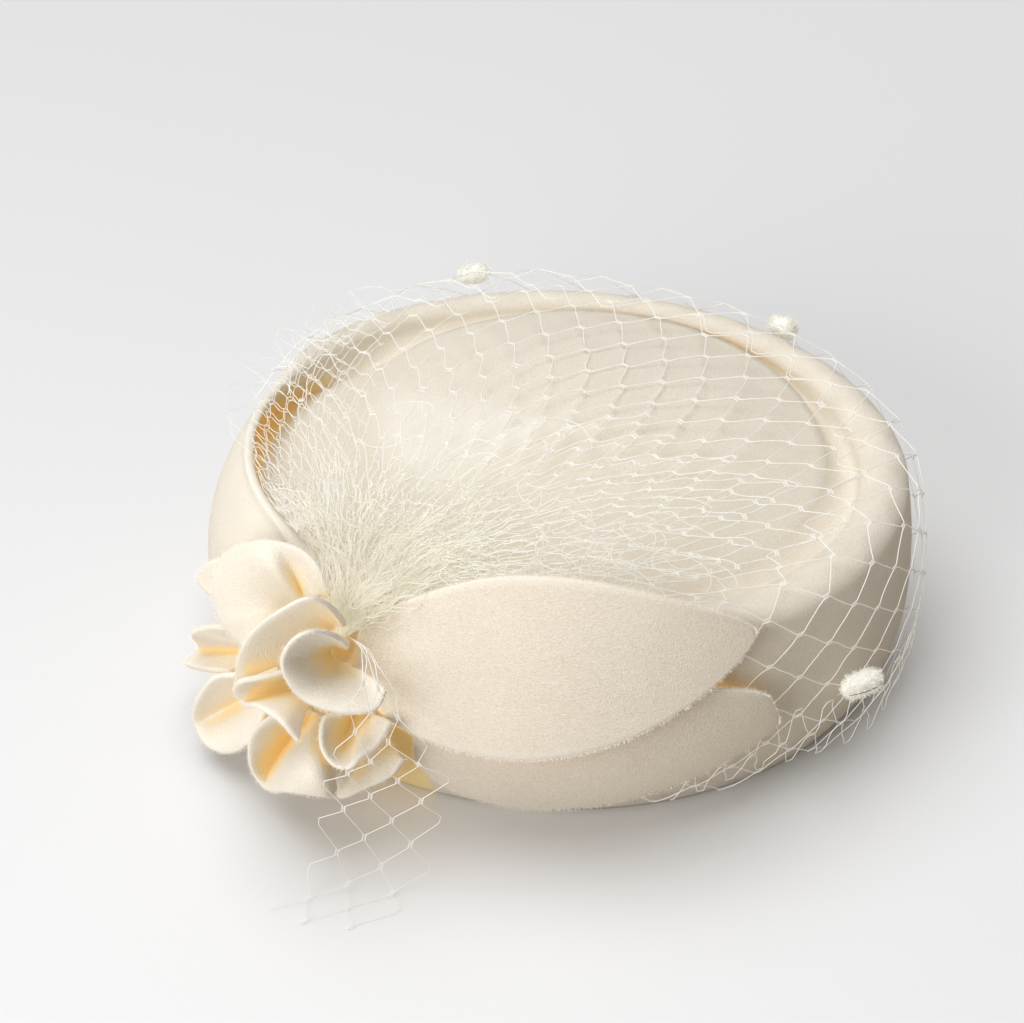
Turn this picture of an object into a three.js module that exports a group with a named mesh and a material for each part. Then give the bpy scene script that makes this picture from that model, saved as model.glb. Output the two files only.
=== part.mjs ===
// A small felt pillbox hat: one blocked felt shell with a sunken crown and a rolled rim, two felt
// leaves and a flower of folded felt petals on its side, and a gathered net veil with tufted dots.
// Millimetres, +Z up. The hat stands on the cut edge of its side wall.
import * as THREE from "three";

// Driving sizes of the blocked felt shell.
const FELT = 2.4; // thickness of the blocked felt
const CREST_LONG = 93; // half length of the rim's crest line, along X
const CREST_WIDE = 79; // half width of the rim's crest line, along Y
const RIM_HEIGHT = 67; // height of the crest above the surface the hat stands on
const BULGE_OUT = 10; // how far the wall swells past the crest
const BULGE_HEIGHT = 30; // where the wall is widest
const BASE_OUT = 0.5; // the cut edge of the wall against the crest
const CROWN_LONG = 71; // half length of the sunken crown's shoulder
const CROWN_WIDE = 64; // half width of the sunken crown's shoulder
const CROWN_X = 5; // the crown sits nearer the right and the back of the rim
const CROWN_Y = 8;
const SHOULDER_HEIGHT = 61; // mean height of the crown's shoulder
const SHOULDER_TILT = 4; // the shoulder is this much higher at the back, and lower at the front
const CROWN_RISE = 13; // how far the crown's middle stands above its shoulder

// The rim and the moat inside it, by the angle round the hat (0 right, 90 back, 180 left, 270 front).
// roll is the rim's radius and inset how far its crest stands in from the crest line. The moat runs
// from the rim to the crown in one curve, drawn by pull (out and height) at the rim and by floor (in
// and height) at the crown. open is 1 where the rim is a single standing edge over a deep gap.
const RIM_SECTIONS = [
  { at: 0, roll: 7, inset: 0, pullOut: -7, pull: 55, floorIn: 13, floor: 55, open: 0 },
  { at: 60, roll: 5, inset: 0, pullOut: -6, pull: 58, floorIn: 10, floor: 60, open: 0 },
  { at: 95, roll: 4.5, inset: 0, pullOut: -5, pull: 62, floorIn: 7, floor: 63, open: 0 },
  { at: 130, roll: 4.5, inset: 0, pullOut: -5, pull: 58, floorIn: 12, floor: 57, open: 0 },
  { at: 144, roll: 4, inset: 1, pullOut: -4, pull: 52, floorIn: 12, floor: 54, open: 0 },
  { at: 164, roll: 1.3, inset: 4, pullOut: 26, pull: 20, floorIn: 10, floor: 64, open: 1 },
  { at: 212, roll: 1.3, inset: 4, pullOut: 26, pull: 20, floorIn: 10, floor: 64, open: 1 },
  { at: 240, roll: 5, inset: 0, pullOut: -5, pull: 55, floorIn: 12, floor: 55, open: 0 },
  { at: 300, roll: 7.5, inset: 0, pullOut: -8, pull: 55, floorIn: 14, floor: 54, open: 0 },
];

const TURN = 2 * Math.PI;
const radians = THREE.MathUtils.degToRad;
const mix = THREE.MathUtils.lerp;
const clamp = THREE.MathUtils.clamp;
const smooth = (share) => share * share * (3 - 2 * share);

// The columns of a table at an angle in degrees, eased between the rows on either side of it.
function tableAt(rows, angle) {
  let index = rows.length - 2;
  while (index > 0 && rows[index].at > angle) index -= 1;
  const low = rows[index];
  const high = rows[index + 1];
  const share = smooth(THREE.MathUtils.clamp((angle - low.at) / (high.at - low.at), 0, 1));
  const made = {};
  for (const column of Object.keys(low)) made[column] = mix(low[column], high[column], share);
  return made;
}

// The rim's shape at an angle round the hat.
const RIM_ROUND = [...RIM_SECTIONS, { ...RIM_SECTIONS[0], at: 360 }];
function rimSection(angle) {
  return tableAt(RIM_ROUND, THREE.MathUtils.euclideanModulo(THREE.MathUtils.radToDeg(angle), 360));
}

// A point of the crest line, and the outward direction there.
function crest(angle) {
  const point = new THREE.Vector3(CREST_LONG * Math.cos(angle), CREST_WIDE * Math.sin(angle), 0);
  const away = new THREE.Vector3(CREST_WIDE * Math.cos(angle), CREST_LONG * Math.sin(angle), 0);
  return { point, away: away.normalize() };
}

// A point set off from the crest line by out, at a height.
function offCrest(angle, out, height) {
  const { point, away } = crest(angle);
  return point.addScaledVector(away, out).setZ(height);
}

// How far the wall's outer face lies outside the crest line at a height.
function wallOut(height, section) {
  if (height <= BULGE_HEIGHT) {
    const below = (BULGE_HEIGHT - height) / BULGE_HEIGHT;
    return mix(BULGE_OUT, BASE_OUT, below ** 2.2);
  }
  const above = (height - BULGE_HEIGHT) / (RIM_HEIGHT - section.roll - BULGE_HEIGHT);
  return mix(BULGE_OUT, section.roll - section.inset, above * above);
}

// The crown's upper face: share runs from 0 at the shoulder to 1 at the middle.
function crownPoint(angle, share, drop) {
  const reach = 1 - share;
  const tilt = SHOULDER_TILT * reach * Math.sin(angle);
  return new THREE.Vector3(
    CROWN_X + CROWN_LONG * reach * Math.cos(angle),
    CROWN_Y + CROWN_WIDE * reach * Math.sin(angle),
    SHOULDER_HEIGHT + tilt + CROWN_RISE * (1 - reach * reach) - drop,
  );
}

// The moat's curve from the rim to the crown's shoulder, in the plane of one section.
function moatCurve(angle, section) {
  const shoulder = crownPoint(angle, 0, 0);
  const { point, away } = crest(angle);
  const across = shoulder.clone().sub(point);
  const out = across.dot(away);
  const side = across.addScaledVector(away, -out).setZ(0);
  const curve = new THREE.CubicBezierCurve(
    new THREE.Vector2(-section.roll - section.inset, RIM_HEIGHT - section.roll),
    new THREE.Vector2(section.pullOut - section.inset, section.pull),
    new THREE.Vector2(-section.floorIn, section.floor),
    new THREE.Vector2(out, shoulder.z),
  );
  return { curve, side };
}

// A point of the moat in space; drop sets it off behind the felt's upper face, square to it at the
// rim and straight down as well where it meets the crown.
function moatPoint(angle, moat, share, drop) {
  const flat = moat.curve.getPoint(share);
  const along = moat.curve.getTangent(share);
  const down = mix(-along.x, 1, share * share) * drop;
  const place = offCrest(angle, flat.x - along.y * drop, flat.y - down);
  return place.addScaledVector(moat.side, smooth(share));
}

const CROWN_RINGS = 3;
const MOAT_STEPS = 6;
const ROLL_STEPS = 5;
const WALL_STEPS = 5;
const INNER_STEPS = 4;
const OPEN_FLOOR = 0.36; // where along its curve an open moat is deepest

// One section of the shell as a line of points, from the crown's middle over the rim and down to
// the cut edge, then back up inside to the crown's underside. A rolled rim is hollow inside; where
// the rim stands open the inside ends under the moat's floor.
function shellSection(angle) {
  const section = rimSection(angle);
  const { roll, inset, open } = section;
  const centre = RIM_HEIGHT - roll;
  const moat = moatCurve(angle, section);
  const line = [];
  for (let i = CROWN_RINGS; i >= 1; i -= 1) line.push(crownPoint(angle, i / (CROWN_RINGS + 1), 0));
  for (let i = MOAT_STEPS; i >= 0; i -= 1) line.push(moatPoint(angle, moat, i / MOAT_STEPS, 0));
  for (let i = 1; i <= ROLL_STEPS; i += 1) {
    const swing = Math.PI * (1 - i / ROLL_STEPS);
    line.push(offCrest(angle, roll * Math.cos(swing) - inset, centre + roll * Math.sin(swing)));
  }
  for (let i = 1; i <= WALL_STEPS; i += 1) {
    const height = centre * (1 - i / WALL_STEPS);
    line.push(offCrest(angle, wallOut(height, section), height));
  }
  const single = Math.min(4 * open, 1);
  const floorShare = OPEN_FLOOR * single;
  const underMoat = moatPoint(angle, moat, floorShare, FELT);
  const foldTop = mix(centre, underMoat.z - FELT, single);
  for (let i = 0; i <= INNER_STEPS; i += 1) {
    const height = (foldTop * i) / INNER_STEPS;
    line.push(offCrest(angle, wallOut(height, section) - FELT, height));
  }
  const hollow = Math.max(roll - FELT, 0.3);
  const wallTop = line[line.length - 1];
  for (let i = 1; i < ROLL_STEPS; i += 1) {
    const swing = (Math.PI * i) / ROLL_STEPS;
    const folded = offCrest(angle, hollow * Math.cos(swing) - inset, centre + hollow * Math.sin(swing));
    line.push(folded.lerp(wallTop.clone().lerp(underMoat, i / ROLL_STEPS), single));
  }
  for (let i = 0; i <= MOAT_STEPS; i += 1) {
    line.push(moatPoint(angle, moat, mix(floorShare, 1, i / MOAT_STEPS), FELT));
  }
  for (let i = 1; i < CROWN_RINGS; i += 1) line.push(crownPoint(angle, i / CROWN_RINGS, FELT));
  return line;
}

// A geometry from points and triangles.
function solid(points, triangles) {
  const made = new THREE.BufferGeometry();
  made.setAttribute("position", new THREE.Float32BufferAttribute(points.flatMap((p) => p.toArray()), 3));
  made.setIndex(triangles);
  made.computeVertexNormals();
  return made;
}

// The shell closes the sections round the hat, with one point in the middle of each of its faces.
// They stand 7.5 degrees apart, and closer where the roll opens.
const SHELL_SECTIONS = [153.75, 161.25];
for (let angle = 0; angle < 360; angle += 7.5) SHELL_SECTIONS.push(angle);
SHELL_SECTIONS.sort((a, b) => a - b);

function shellGeometry() {
  const points = [];
  const triangles = [];
  for (const angle of SHELL_SECTIONS) points.push(...shellSection(radians(angle)));
  const rows = points.length / SHELL_SECTIONS.length;
  const top = points.push(crownPoint(0, 1, 0)) - 1;
  const bottom = points.push(crownPoint(0, 1, FELT)) - 1;
  for (let i = 0; i < SHELL_SECTIONS.length; i += 1) {
    const here = i * rows;
    const next = ((i + 1) % SHELL_SECTIONS.length) * rows;
    triangles.push(top, here, next);
    for (let j = 0; j < rows - 1; j += 1) {
      triangles.push(here + j, here + j + 1, next + j + 1, here + j, next + j + 1, next + j);
    }
    triangles.push(bottom, next + rows - 1, here + rows - 1);
  }
  return solid(points, triangles);
}

// A closed sheet of even thickness over a grid of points, given as surface(u, v) with u and v from
// 0 to 1. Its faces are set off both ways along the surface's own direction.
function sheetGeometry(surface, uSteps, vSteps, thickness) {
  const points = [];
  const triangles = [];
  const step = 1e-3;
  for (const side of [1, -1]) {
    for (let i = 0; i <= uSteps; i += 1) {
      for (let j = 0; j <= vSteps; j += 1) {
        const u = THREE.MathUtils.clamp(i / uSteps, step, 1 - step);
        const v = THREE.MathUtils.clamp(j / vSteps, step, 1 - step);
        const alongU = surface(u + step, v).sub(surface(u - step, v));
        const alongV = surface(u, v + step).sub(surface(u, v - step));
        const face = alongU.cross(alongV).normalize();
        points.push(surface(i / uSteps, j / vSteps).addScaledVector(face, (side * thickness) / 2));
      }
    }
  }
  const row = vSteps + 1;
  const back = (uSteps + 1) * row;
  const quad = (a, b, c, d) => triangles.push(a, b, c, a, c, d);
  for (let i = 0; i < uSteps; i += 1) {
    for (let j = 0; j < vSteps; j += 1) {
      const at = i * row + j;
      quad(at, at + row, at + row + 1, at + 1);
      quad(back + at, back + at + 1, back + at + row + 1, back + at + row);
    }
    const low = i * row;
    const high = low + vSteps;
    quad(low, back + low, back + low + row, low + row);
    quad(high, high + row, back + high + row, back + high);
  }
  for (let j = 0; j < vSteps; j += 1) {
    const last = uSteps * row + j;
    quad(j, j + 1, back + j + 1, back + j);
    quad(last, back + last, back + last + 1, last + 1);
  }
  return solid(points, triangles);
}

// The two leaves lie along the front of the wall, from under the flower towards the right. Each row
// gives a leaf's spine at its root, middle and tip (angle round the hat, height and stand-off from
// the wall), how far its upper edge leans in (degrees), its half width below and above the spine, how
// blunt its upper side is at the tip, and how much it is cupped.
const LEAF_FELT = 2.2;
const LEAVES = [
  {
    name: "leaf_upper",
    spine: [
      { at: 243, height: 54, off: 3.6 },
      { at: 272, height: 63, off: 7 },
      { at: 305, height: 66, off: 3.5 },
    ],
    lean: 28,
    half: [25, 25],
    blunt: 0,
    cup: 2,
  },
  {
    name: "leaf_lower",
    spine: [
      { at: 253, height: 28, off: 1.7 },
      { at: 274, height: 31, off: 6 },
      { at: 309, height: 35, off: 5 },
    ],
    lean: -2,
    half: [20, 26],
    blunt: 0.45,
    cup: 4,
  },
];

// A value eased through three stations, at a share of the way along.
function through(values, share) {
  const [first, middle, last] = values;
  const bend = 2 * middle - (first + last) / 2;
  return mix(mix(first, bend, share), mix(bend, last, share), share);
}

// The share of a leaf's half width along its length: blunt at the root, more or less so at the tip.
function leafWidth(share, blunt) {
  const power = 0.8 - blunt * smooth(clamp((share - 0.4) / 0.4, 0, 1));
  return 0.03 + 0.97 * Math.sin(Math.PI * (0.07 + 0.93 * share)) ** power;
}

// A point of a leaf: u runs from its root to its tip, v across it from its lower edge to its upper.
function leafSurface(leaf) {
  return (u, v) => {
    const spot = {};
    for (const column of ["at", "height", "off"]) {
      spot[column] = through(leaf.spine.map((station) => station[column]), u);
    }
    const angle = radians(spot.at);
    const section = rimSection(angle);
    const wall = wallOut(Math.min(spot.height, RIM_HEIGHT - section.roll), section);
    const { away } = crest(angle);
    const across = away.clone().multiplyScalar(-Math.sin(radians(leaf.lean)));
    across.setZ(Math.cos(radians(leaf.lean)));
    const facing = away.clone().multiplyScalar(Math.cos(radians(leaf.lean)));
    facing.setZ(Math.sin(radians(leaf.lean)));
    const above = v > 0.5 ? 1 : 0;
    const side = (2 * v - 1) * leafWidth(u, above * leaf.blunt);
    const middle = offCrest(angle, wall + spot.off, spot.height);
    middle.addScaledVector(across, side * leaf.half[above]);
    return middle.addScaledVector(facing, -leaf.cup * side * side);
  };
}

// The flower's frame on the wall: out from the wall, along it to the right, and up.
const FLOWER_AT = radians(236);
const FLOWER_HEIGHT = 36;
const PETAL_FELT = 1.7;
const UP = new THREE.Vector3(0, 0, 1);
const flowerOut = crest(FLOWER_AT).away;
const flowerAlong = new THREE.Vector3().crossVectors(UP, flowerOut);
const flowerRoot = offCrest(FLOWER_AT, wallOut(FLOWER_HEIGHT, rimSection(FLOWER_AT)), FLOWER_HEIGHT);

// Each petal is a soft felt disc, gathered at its root and ruffled. It is drawn by its root line, from
// one end to the other, and by ribs from there to the cut rim: the point a rib bends towards, then its
// point on the rim. Points are in the flower's frame: out from the wall, along it to the right, and up.
const PETALS = [
  {
    name: "petal_top",
    root: [[-3.5, -14, 18], [-4.5, -6, 24]],
    ribs: [
      [[7.5, -11.5, 19], [8, -21.5, 7.5]], [[8.5, -13.5, 22.5], [7, -29, 10]],
      [[8, -15.5, 25.5], [5, -33.5, 13]], [[8, -16, 30], [2, -36.5, 18.5]],
      [[9.5, -13, 38.5], [-3.5, -36.5, 26]], [[7.5, -9, 39.5], [-2, -21, 39]],
      [[-2, -12.5, 29.5], [-3, -10, 41.5]], [[-2.5, -7, 28.5], [-3, -2, 38.5]],
      [[-1, -2.5, 30.5], [-2.5, 2.5, 30]],
    ],
  },
  {
    name: "petal_top_back",
    root: [[-3.5, -24, 8], [-4.5, -23, 14]],
    ribs: [
      [[-4, -36.5, 9], [-5, -43, 5]], [[-4, -40, 9.5], [-7, -49, 4]],
      [[-5, -40.5, 11], [-9, -53.5, 4.5]], [[-5.5, -40, 13.5], [-10, -51, 10.5]],
      [[-5.5, -36.5, 15.5], [-9.5, -43, 17.5]],
    ],
  },
  {
    name: "petal_left",
    root: [[-1, -20, 5], [-0.5, -20, -3]],
    ribs: [
      [[3, -28, 3.5], [4.5, -28, 9]], [[3.5, -33, 1.5], [5, -36.5, 5.5]],
      [[4, -35, 0], [3.5, -45.5, -3]], [[-2.5, -38.5, -10], [-6.5, -53, -19.5]],
      [[1, -40.5, -12], [0.5, -52.5, -20.5]], [[3.5, -34, -9.5], [5, -40, -13]],
      [[3, -30, -7], [6.5, -28.5, -7]],
    ],
  },
  {
    name: "petal_arch",
    root: [[-3.5, 4, 22], [-2, -1, 16]],
    ribs: [
      [[2.5, 11.5, 27], [3.5, 12, 29.5]], [[4.5, 11, 31], [8.5, 11, 39.5]],
      [[7, 7, 31.5], [13.5, 8, 43.5]], [[8, 2, 25.5], [18, 1, 38]],
      [[10.5, -1.5, 21], [20, -7, 28]], [[12, -1.5, 17.5], [21.5, -11, 18]],
      [[14, -0.5, 15], [21, -12.5, 10]],
    ],
  },
  {
    name: "petal_front",
    root: [[-1, 2, 15], [0, 3, 9]],
    ribs: [
      [[9.5, 18.5, 28.5], [10.5, 19, 31]], [[12.5, 18, 32], [17.5, 20.5, 40]],
      [[15.5, 18, 33.5], [23.5, 19, 45]], [[18, 17, 34], [28, 16, 44]],
      [[19, 15, 31], [30.5, 13.5, 38]], [[22.5, 18.5, 31.5], [31, 14.5, 32]],
      [[24, 22.5, 31], [30, 18.5, 26]], [[22.5, 25.5, 30], [27.5, 25, 23.5]],
      [[19, 27.5, 28.5], [23.5, 31, 22.5]], [[15, 28, 27], [18.5, 34.5, 22.5]],
      [[10.5, 25, 26], [13, 33.5, 24.5]],
    ],
  },
  {
    name: "petal_rolled",
    root: [[0.5, -6, 3], [1.5, 0, -3]],
    ribs: [
      [[15, 2, 14], [17.5, 1, 17.5]], [[18, 0.5, 15], [22.5, -2.5, 17]],
      [[20, -0.5, 14.5], [26.5, -6, 16.5]], [[19.5, -1.5, 10.5], [25.5, -9.5, 10.5]],
      [[20, -1, 8], [25, -7.5, 6.5]], [[22.5, 3.5, 11.5], [28.5, 2, 13]],
      [[24.5, 9.5, 14.5], [30.5, 11.5, 14.5]], [[23.5, 12, 13], [30, 17, 9.5]],
    ],
  },
  {
    name: "petal_low_left",
    root: [[0, -17, -3], [0.5, -13, -9]],
    ribs: [
      [[9, -21, -5], [10.5, -22.5, -1]], [[9, -26.5, -9], [13.5, -28.5, -3.5]],
      [[7, -31.5, -18], [14, -35.5, -15.5]], [[3.5, -36, -28], [12.5, -39, -27]],
      [[9.5, -28.5, -23.5], [16, -31.5, -29]], [[14.5, -20.5, -16.5], [17, -21.5, -26]],
      [[14.5, -16, -11], [20.5, -9, -11.5]], [[12.5, -12, -5.5], [15.5, -7.5, -2.5]],
    ],
  },
  {
    name: "petal_bottom",
    root: [[1, -7, -12], [1, 3, -12]],
    ribs: [
      [[15.5, 1.5, -2], [19, -1.5, 2]], [[15, -2.5, -7.5], [22, -7, -5.5]],
      [[14, -5.5, -13], [23, -8.5, -14.5]], [[10.5, -11, -23], [22.5, -7.5, -22]],
      [[12.5, -10, -25.5], [23, -1.5, -24]], [[25, 4.5, -8], [29, 11, -12.5]],
      [[32.5, 18, 10], [29.5, 19, -8.5]], [[30, 21.5, 10], [27, 23.5, -8.5]],
      [[21, 17.5, -2], [22, 22, -11]],
    ],
  },
  {
    name: "petal_loop",
    root: [[0.5, 10, 1], [0, 15, -3]],
    ribs: [
      [[11, 22, 9], [14.5, 18, 9.5]], [[11, 19, 4], [19.5, 16.5, 10.5]],
      [[11, 16.5, -2.5], [24, 19, 6]], [[11.5, 18.5, -4.5], [25.5, 24, 2.5]],
      [[14.5, 24, 0.5], [24.5, 29, 3]], [[15.5, 27.5, 5.5], [22, 30.5, 5.5]],
      [[13.5, 29, 7.5], [17, 32.5, 7]], [[10, 30, 11], [11, 33, 11.5]],
    ],
  },
  {
    name: "petal_low_right",
    root: [[-1, 22, -6], [0, 13, -9]],
    ribs: [
      [[4.5, 29, -6], [6.5, 33, -5]], [[7.5, 28.5, -6.5], [9, 31, -10.5]],
      [[10, 26.5, -8], [13.5, 26, -14.5]], [[12, 22.5, -10], [15.5, 17, -22]],
      [[11, 21, -7.5], [15.5, 16.5, -12.5]],
    ],
  },
];

function inFlower([out, along, up]) {
  const place = flowerRoot.clone().addScaledVector(flowerOut, out);
  return place.addScaledVector(flowerAlong, along).addScaledVector(UP, up);
}

// A point of a petal: u runs from its root to its rim, v across its ribs.
function petalSurface(petal) {
  const root = petal.root.map(inFlower);
  const middles = petal.ribs.map((rib) => inFlower(rib[0]));
  const rims = petal.ribs.map((rib) => inFlower(rib[1]));
  return (u, v) => {
    const middle = alongRow(middles, v);
    const rim = alongRow(rims, v);
    const start = root[0].clone().lerp(root[1], v);
    return start.lerp(middle, u).lerp(middle.lerp(rim, u), u);
  };
}

// A smooth line through a row of points, at a share of the way along it.
function alongRow(points, share) {
  const last = points.length - 1;
  const index = Math.min(Math.floor(last * share), last - 1);
  const t = last * share - index;
  const [b, c] = [points[index], points[index + 1]];
  const a = index > 0 ? points[index - 1] : b.clone().multiplyScalar(2).sub(c);
  const d = index + 2 <= last ? points[index + 2] : c.clone().multiplyScalar(2).sub(b);
  const made = b.clone().multiplyScalar(2 - 5 * t * t + 3 * t ** 3);
  made.addScaledVector(a, -t + 2 * t * t - t ** 3);
  made.addScaledVector(c, t + 4 * t * t - 3 * t ** 3);
  return made.addScaledVector(d, t ** 3 - t * t).multiplyScalar(0.5);
}

// A net over a surface(column, row): diamond gaps between strands, left out where a gap would close.
// Columns and rows count half gaps, so a gap spans two of each.
const NET_THICK = 1;
const NET_STRAND = 0.75; // half the width of a strand
const NET_RING = [[1, 0], [0.5, 0.5], [0, 1], [-0.5, 0.5], [-1, 0], [-0.5, -0.5], [0, -1], [0.5, -0.5]];

function netGeometry(surface, columns, rows) {
  const points = [];
  const triangles = [];
  const placed = new Map();
  const edges = new Map();
  const quad = (a, b, c, d) => triangles.push(a, b, c, a, c, d);
  const face = (column, row) => {
    const step = 0.02;
    const alongC = surface(column + step, row).sub(surface(column - step, row));
    const alongR = surface(column, row + step).sub(surface(column, row - step));
    return alongC.cross(alongR).normalize();
  };
  // A pair of points, on the net's outer and inner face; the inner one follows the outer one.
  const pair = (column, row) => {
    const key = `${column.toFixed(4)} ${row.toFixed(4)}`;
    if (!placed.has(key)) {
      const middle = surface(column, row);
      const out = face(column, row).multiplyScalar(NET_THICK / 2);
      placed.set(key, points.push(middle.clone().add(out), middle.clone().sub(out)) - 2);
    }
    return placed.get(key);
  };
  for (let row = 1; row < rows; row += 1) {
    for (let column = 2 - (row % 2); column < columns; column += 2) {
      const centre = surface(column, row);
      const ring = NET_RING.map(([c, r]) => pair(column + c, row + r));
      const gaps = NET_RING.map(([c, r], k) => {
        const far = surface(column + c, row + r).distanceTo(centre);
        return ((k % 2 ? 1 : 1.7) * NET_STRAND) / far;
      });
      const holed = Math.max(...gaps) < 0.72;
      const inner = holed
        ? NET_RING.map(([c, r], k) => pair(column + c * (1 - gaps[k]), row + r * (1 - gaps[k])))
        : ring.map(() => pair(column, row));
      ring.forEach((here, k) => {
        const next = ring[(k + 1) % ring.length];
        const hole = inner[k];
        const beside = inner[(k + 1) % ring.length];
        triangles.push(here, next, hole, here + 1, hole + 1, next + 1);
        if (holed) {
          triangles.push(next, beside, hole, next + 1, hole + 1, beside + 1);
          quad(hole, beside, beside + 1, hole + 1);
        }
        const back = `${next} ${here}`;
        if (!edges.delete(back)) edges.set(`${here} ${next}`, [here, next]);
      });
    }
  }
  for (const [here, next] of edges.values()) quad(here, here + 1, next + 1, next);
  return solid(points, triangles);
}

// The veil is gathered at one point of the rim and fans out from there over the crown, across the
// far rim and down the wall. off is its stand-off from the felt at the rim and on the wall, and hem
// the height it ends at, by the angle round the hat where it crosses the rim.
const GATHER_AT = radians(239);
const GATHER_NECK = 9; // the fan starts this far from the gather
const GATHER_OUT = 6; // the gather lies outside the crest line
const GATHER_OFF = 2.4;
const VEIL_RISE = 6.6; // how far the veil rises over the crown
const VEIL_FROM = 268;
const VEIL_TO = 522;
const VEIL_COLUMNS = 16;
const VEIL_TOP_ROWS = 7;
const VEIL_WALL_ROWS = 4;
const ROLL_SHARE = 0.2; // the part of the veil's drop that rounds the rim
const VEIL_DRAPE = [
  { at: 268, off: 1.6, hem: 8 },
  { at: 312, off: 2, hem: 4 },
  { at: 345, off: 4.5, hem: 3 },
  { at: 390, off: 2.6, hem: 5 },
  { at: 430, off: 4, hem: 8 },
  { at: 470, off: 7, hem: 16 },
  { at: 500, off: 3.5, hem: 36 },
  { at: 522, off: 3, hem: 54 },
];

// A point of the veil: rows up to VEIL_TOP_ROWS cross the crown to the rim, the rest fall down the
// wall. Columns fan out round the gather.
function veilSurface(column, row) {
  const turn = mix(VEIL_FROM, VEIL_TO, column / VEIL_COLUMNS);
  const angle = radians(turn);
  const section = rimSection(angle);
  const drape = tableAt(VEIL_DRAPE, turn);
  if (row <= VEIL_TOP_ROWS) {
    const gather = offCrest(GATHER_AT, GATHER_OUT, 0);
    const rim = offCrest(angle, -section.inset, 0);
    const reach = rim.distanceTo(gather);
    const share = mix(GATHER_NECK / reach, 1, row / VEIL_TOP_ROWS);
    const place = gather.lerp(rim, share);
    const middle = Math.min(Math.hypot(place.x / CREST_LONG, place.y / CREST_WIDE), 1);
    const off = mix(GATHER_OFF, drape.off, share);
    return place.setZ(RIM_HEIGHT + off + VEIL_RISE * (1 - middle ** 1.4));
  }
  const drop = (row - VEIL_TOP_ROWS) / VEIL_WALL_ROWS;
  const centre = RIM_HEIGHT - section.roll;
  if (drop < ROLL_SHARE) {
    const swing = (Math.PI / 2) * (drop / ROLL_SHARE);
    const reach = section.roll + drape.off;
    return offCrest(angle, reach * Math.sin(swing) - section.inset, centre + reach * Math.cos(swing));
  }
  const height = mix(centre, drape.hem, (drop - ROLL_SHARE) / (1 - ROLL_SHARE));
  return offCrest(angle, wallOut(height, section) + drape.off, height);
}

// A narrower end of the veil comes out between the flower and the leaves, hangs down in front of the
// flower and lies out on the surface the hat stands on: its left and right edges at each station.
const STRIP = [
  { left: [-49.5, -75.5, 55.5], right: [-48, -76.5, 55.5] },
  { left: [-42, -97, 70.5], right: [-39.5, -98, 71] },
  { left: [-38.5, -114, 78.5], right: [-34, -109, 74.5] },
  { left: [-40.5, -117.5, 71], right: [-30.5, -108.5, 65.5] },
  { left: [-43.5, -115.5, 59], right: [-26.5, -109, 57.5] },
  { left: [-47, -116, 47.5], right: [-22.5, -108, 47] },
  { left: [-51, -113, 32.5], right: [-18, -105.5, 35] },
  { left: [-54, -115, 13], right: [-21, -107, 14] },
  { left: [-59, -119, 2], right: [-25, -115, 2] },
  { left: [-69, -131, 1], right: [-36, -131, 1] },
];
const STRIP_COLUMNS = 4;
const STRIP_ROWS = 14;
const stripLeft = new THREE.CatmullRomCurve3(STRIP.map((row) => new THREE.Vector3(...row.left)));
const stripRight = new THREE.CatmullRomCurve3(STRIP.map((row) => new THREE.Vector3(...row.right)));

// A point of the front strip, which never dips into the surface it lies on.
function stripSurface(column, row) {
  const along = THREE.MathUtils.clamp(row / STRIP_ROWS, 0, 1);
  const place = stripLeft.getPoint(along).lerp(stripRight.getPoint(along), column / STRIP_COLUMNS);
  return place.setZ(Math.max(place.z, NET_THICK));
}

// Tufted dots sit on the veil: the column and row of the veil under each one's middle, and half its
// size along the columns, along the rows and out from the veil.
const DOTS = [
  { name: "veil_dot_back", column: 12.7, row: 7.7, wide: 5, high: 3, deep: 3 },
  { name: "veil_dot_rim", column: 9.15, row: 7.8, wide: 4.2, high: 3.6, deep: 3.2 },
  { name: "veil_dot_wall", column: 3.62, row: 9.3, wide: 6.2, high: 3.8, deep: 3.2 },
];
const DOT_SINK = 0.2; // a dot's round underside drops a little into the gaps beside its strand

// A dot as a flattened ball set against the veil's outer face.
function dotGeometry(dot) {
  const step = 0.05;
  const { column, row } = dot;
  const alongC = veilSurface(column + step, row).sub(veilSurface(column - step, row)).normalize();
  const alongR = veilSurface(column, row + step).sub(veilSurface(column, row - step)).normalize();
  const out = new THREE.Vector3().crossVectors(alongC, alongR).normalize();
  const place = veilSurface(column, row).addScaledVector(out, DOT_SINK - dot.deep - NET_THICK / 2);
  const across = new THREE.Vector3().crossVectors(out, alongC);
  const ball = new THREE.SphereGeometry(1, 10, 6).scale(dot.wide, dot.high, dot.deep);
  return ball.applyMatrix4(new THREE.Matrix4().makeBasis(alongC, across, out).setPosition(place));
}

const cream = { color: 0xf1e6d2, roughness: 0.95, metalness: 0 };
const bodyFelt = new THREE.MeshStandardMaterial(cream);
const leafFelt = new THREE.MeshStandardMaterial({ ...cream, color: 0xe9dcc8 });
const petalFelt = new THREE.MeshStandardMaterial({ ...cream, color: 0xf6e9cf });

function piece(name, geometry, finish) {
  const made = new THREE.Mesh(geometry, finish);
  made.name = name;
  return made;
}

// The pieces, all in the shell's own frame.
const hat = new THREE.Group();
hat.add(piece("hat_body", shellGeometry(), bodyFelt));
for (const leaf of LEAVES) {
  hat.add(piece(leaf.name, sheetGeometry(leafSurface(leaf), 14, 5, LEAF_FELT), leafFelt));
}
for (const petal of PETALS) {
  const steps = 2 * (petal.ribs.length - 1);
  hat.add(piece(petal.name, sheetGeometry(petalSurface(petal), 3, steps, PETAL_FELT), petalFelt));
}

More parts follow.
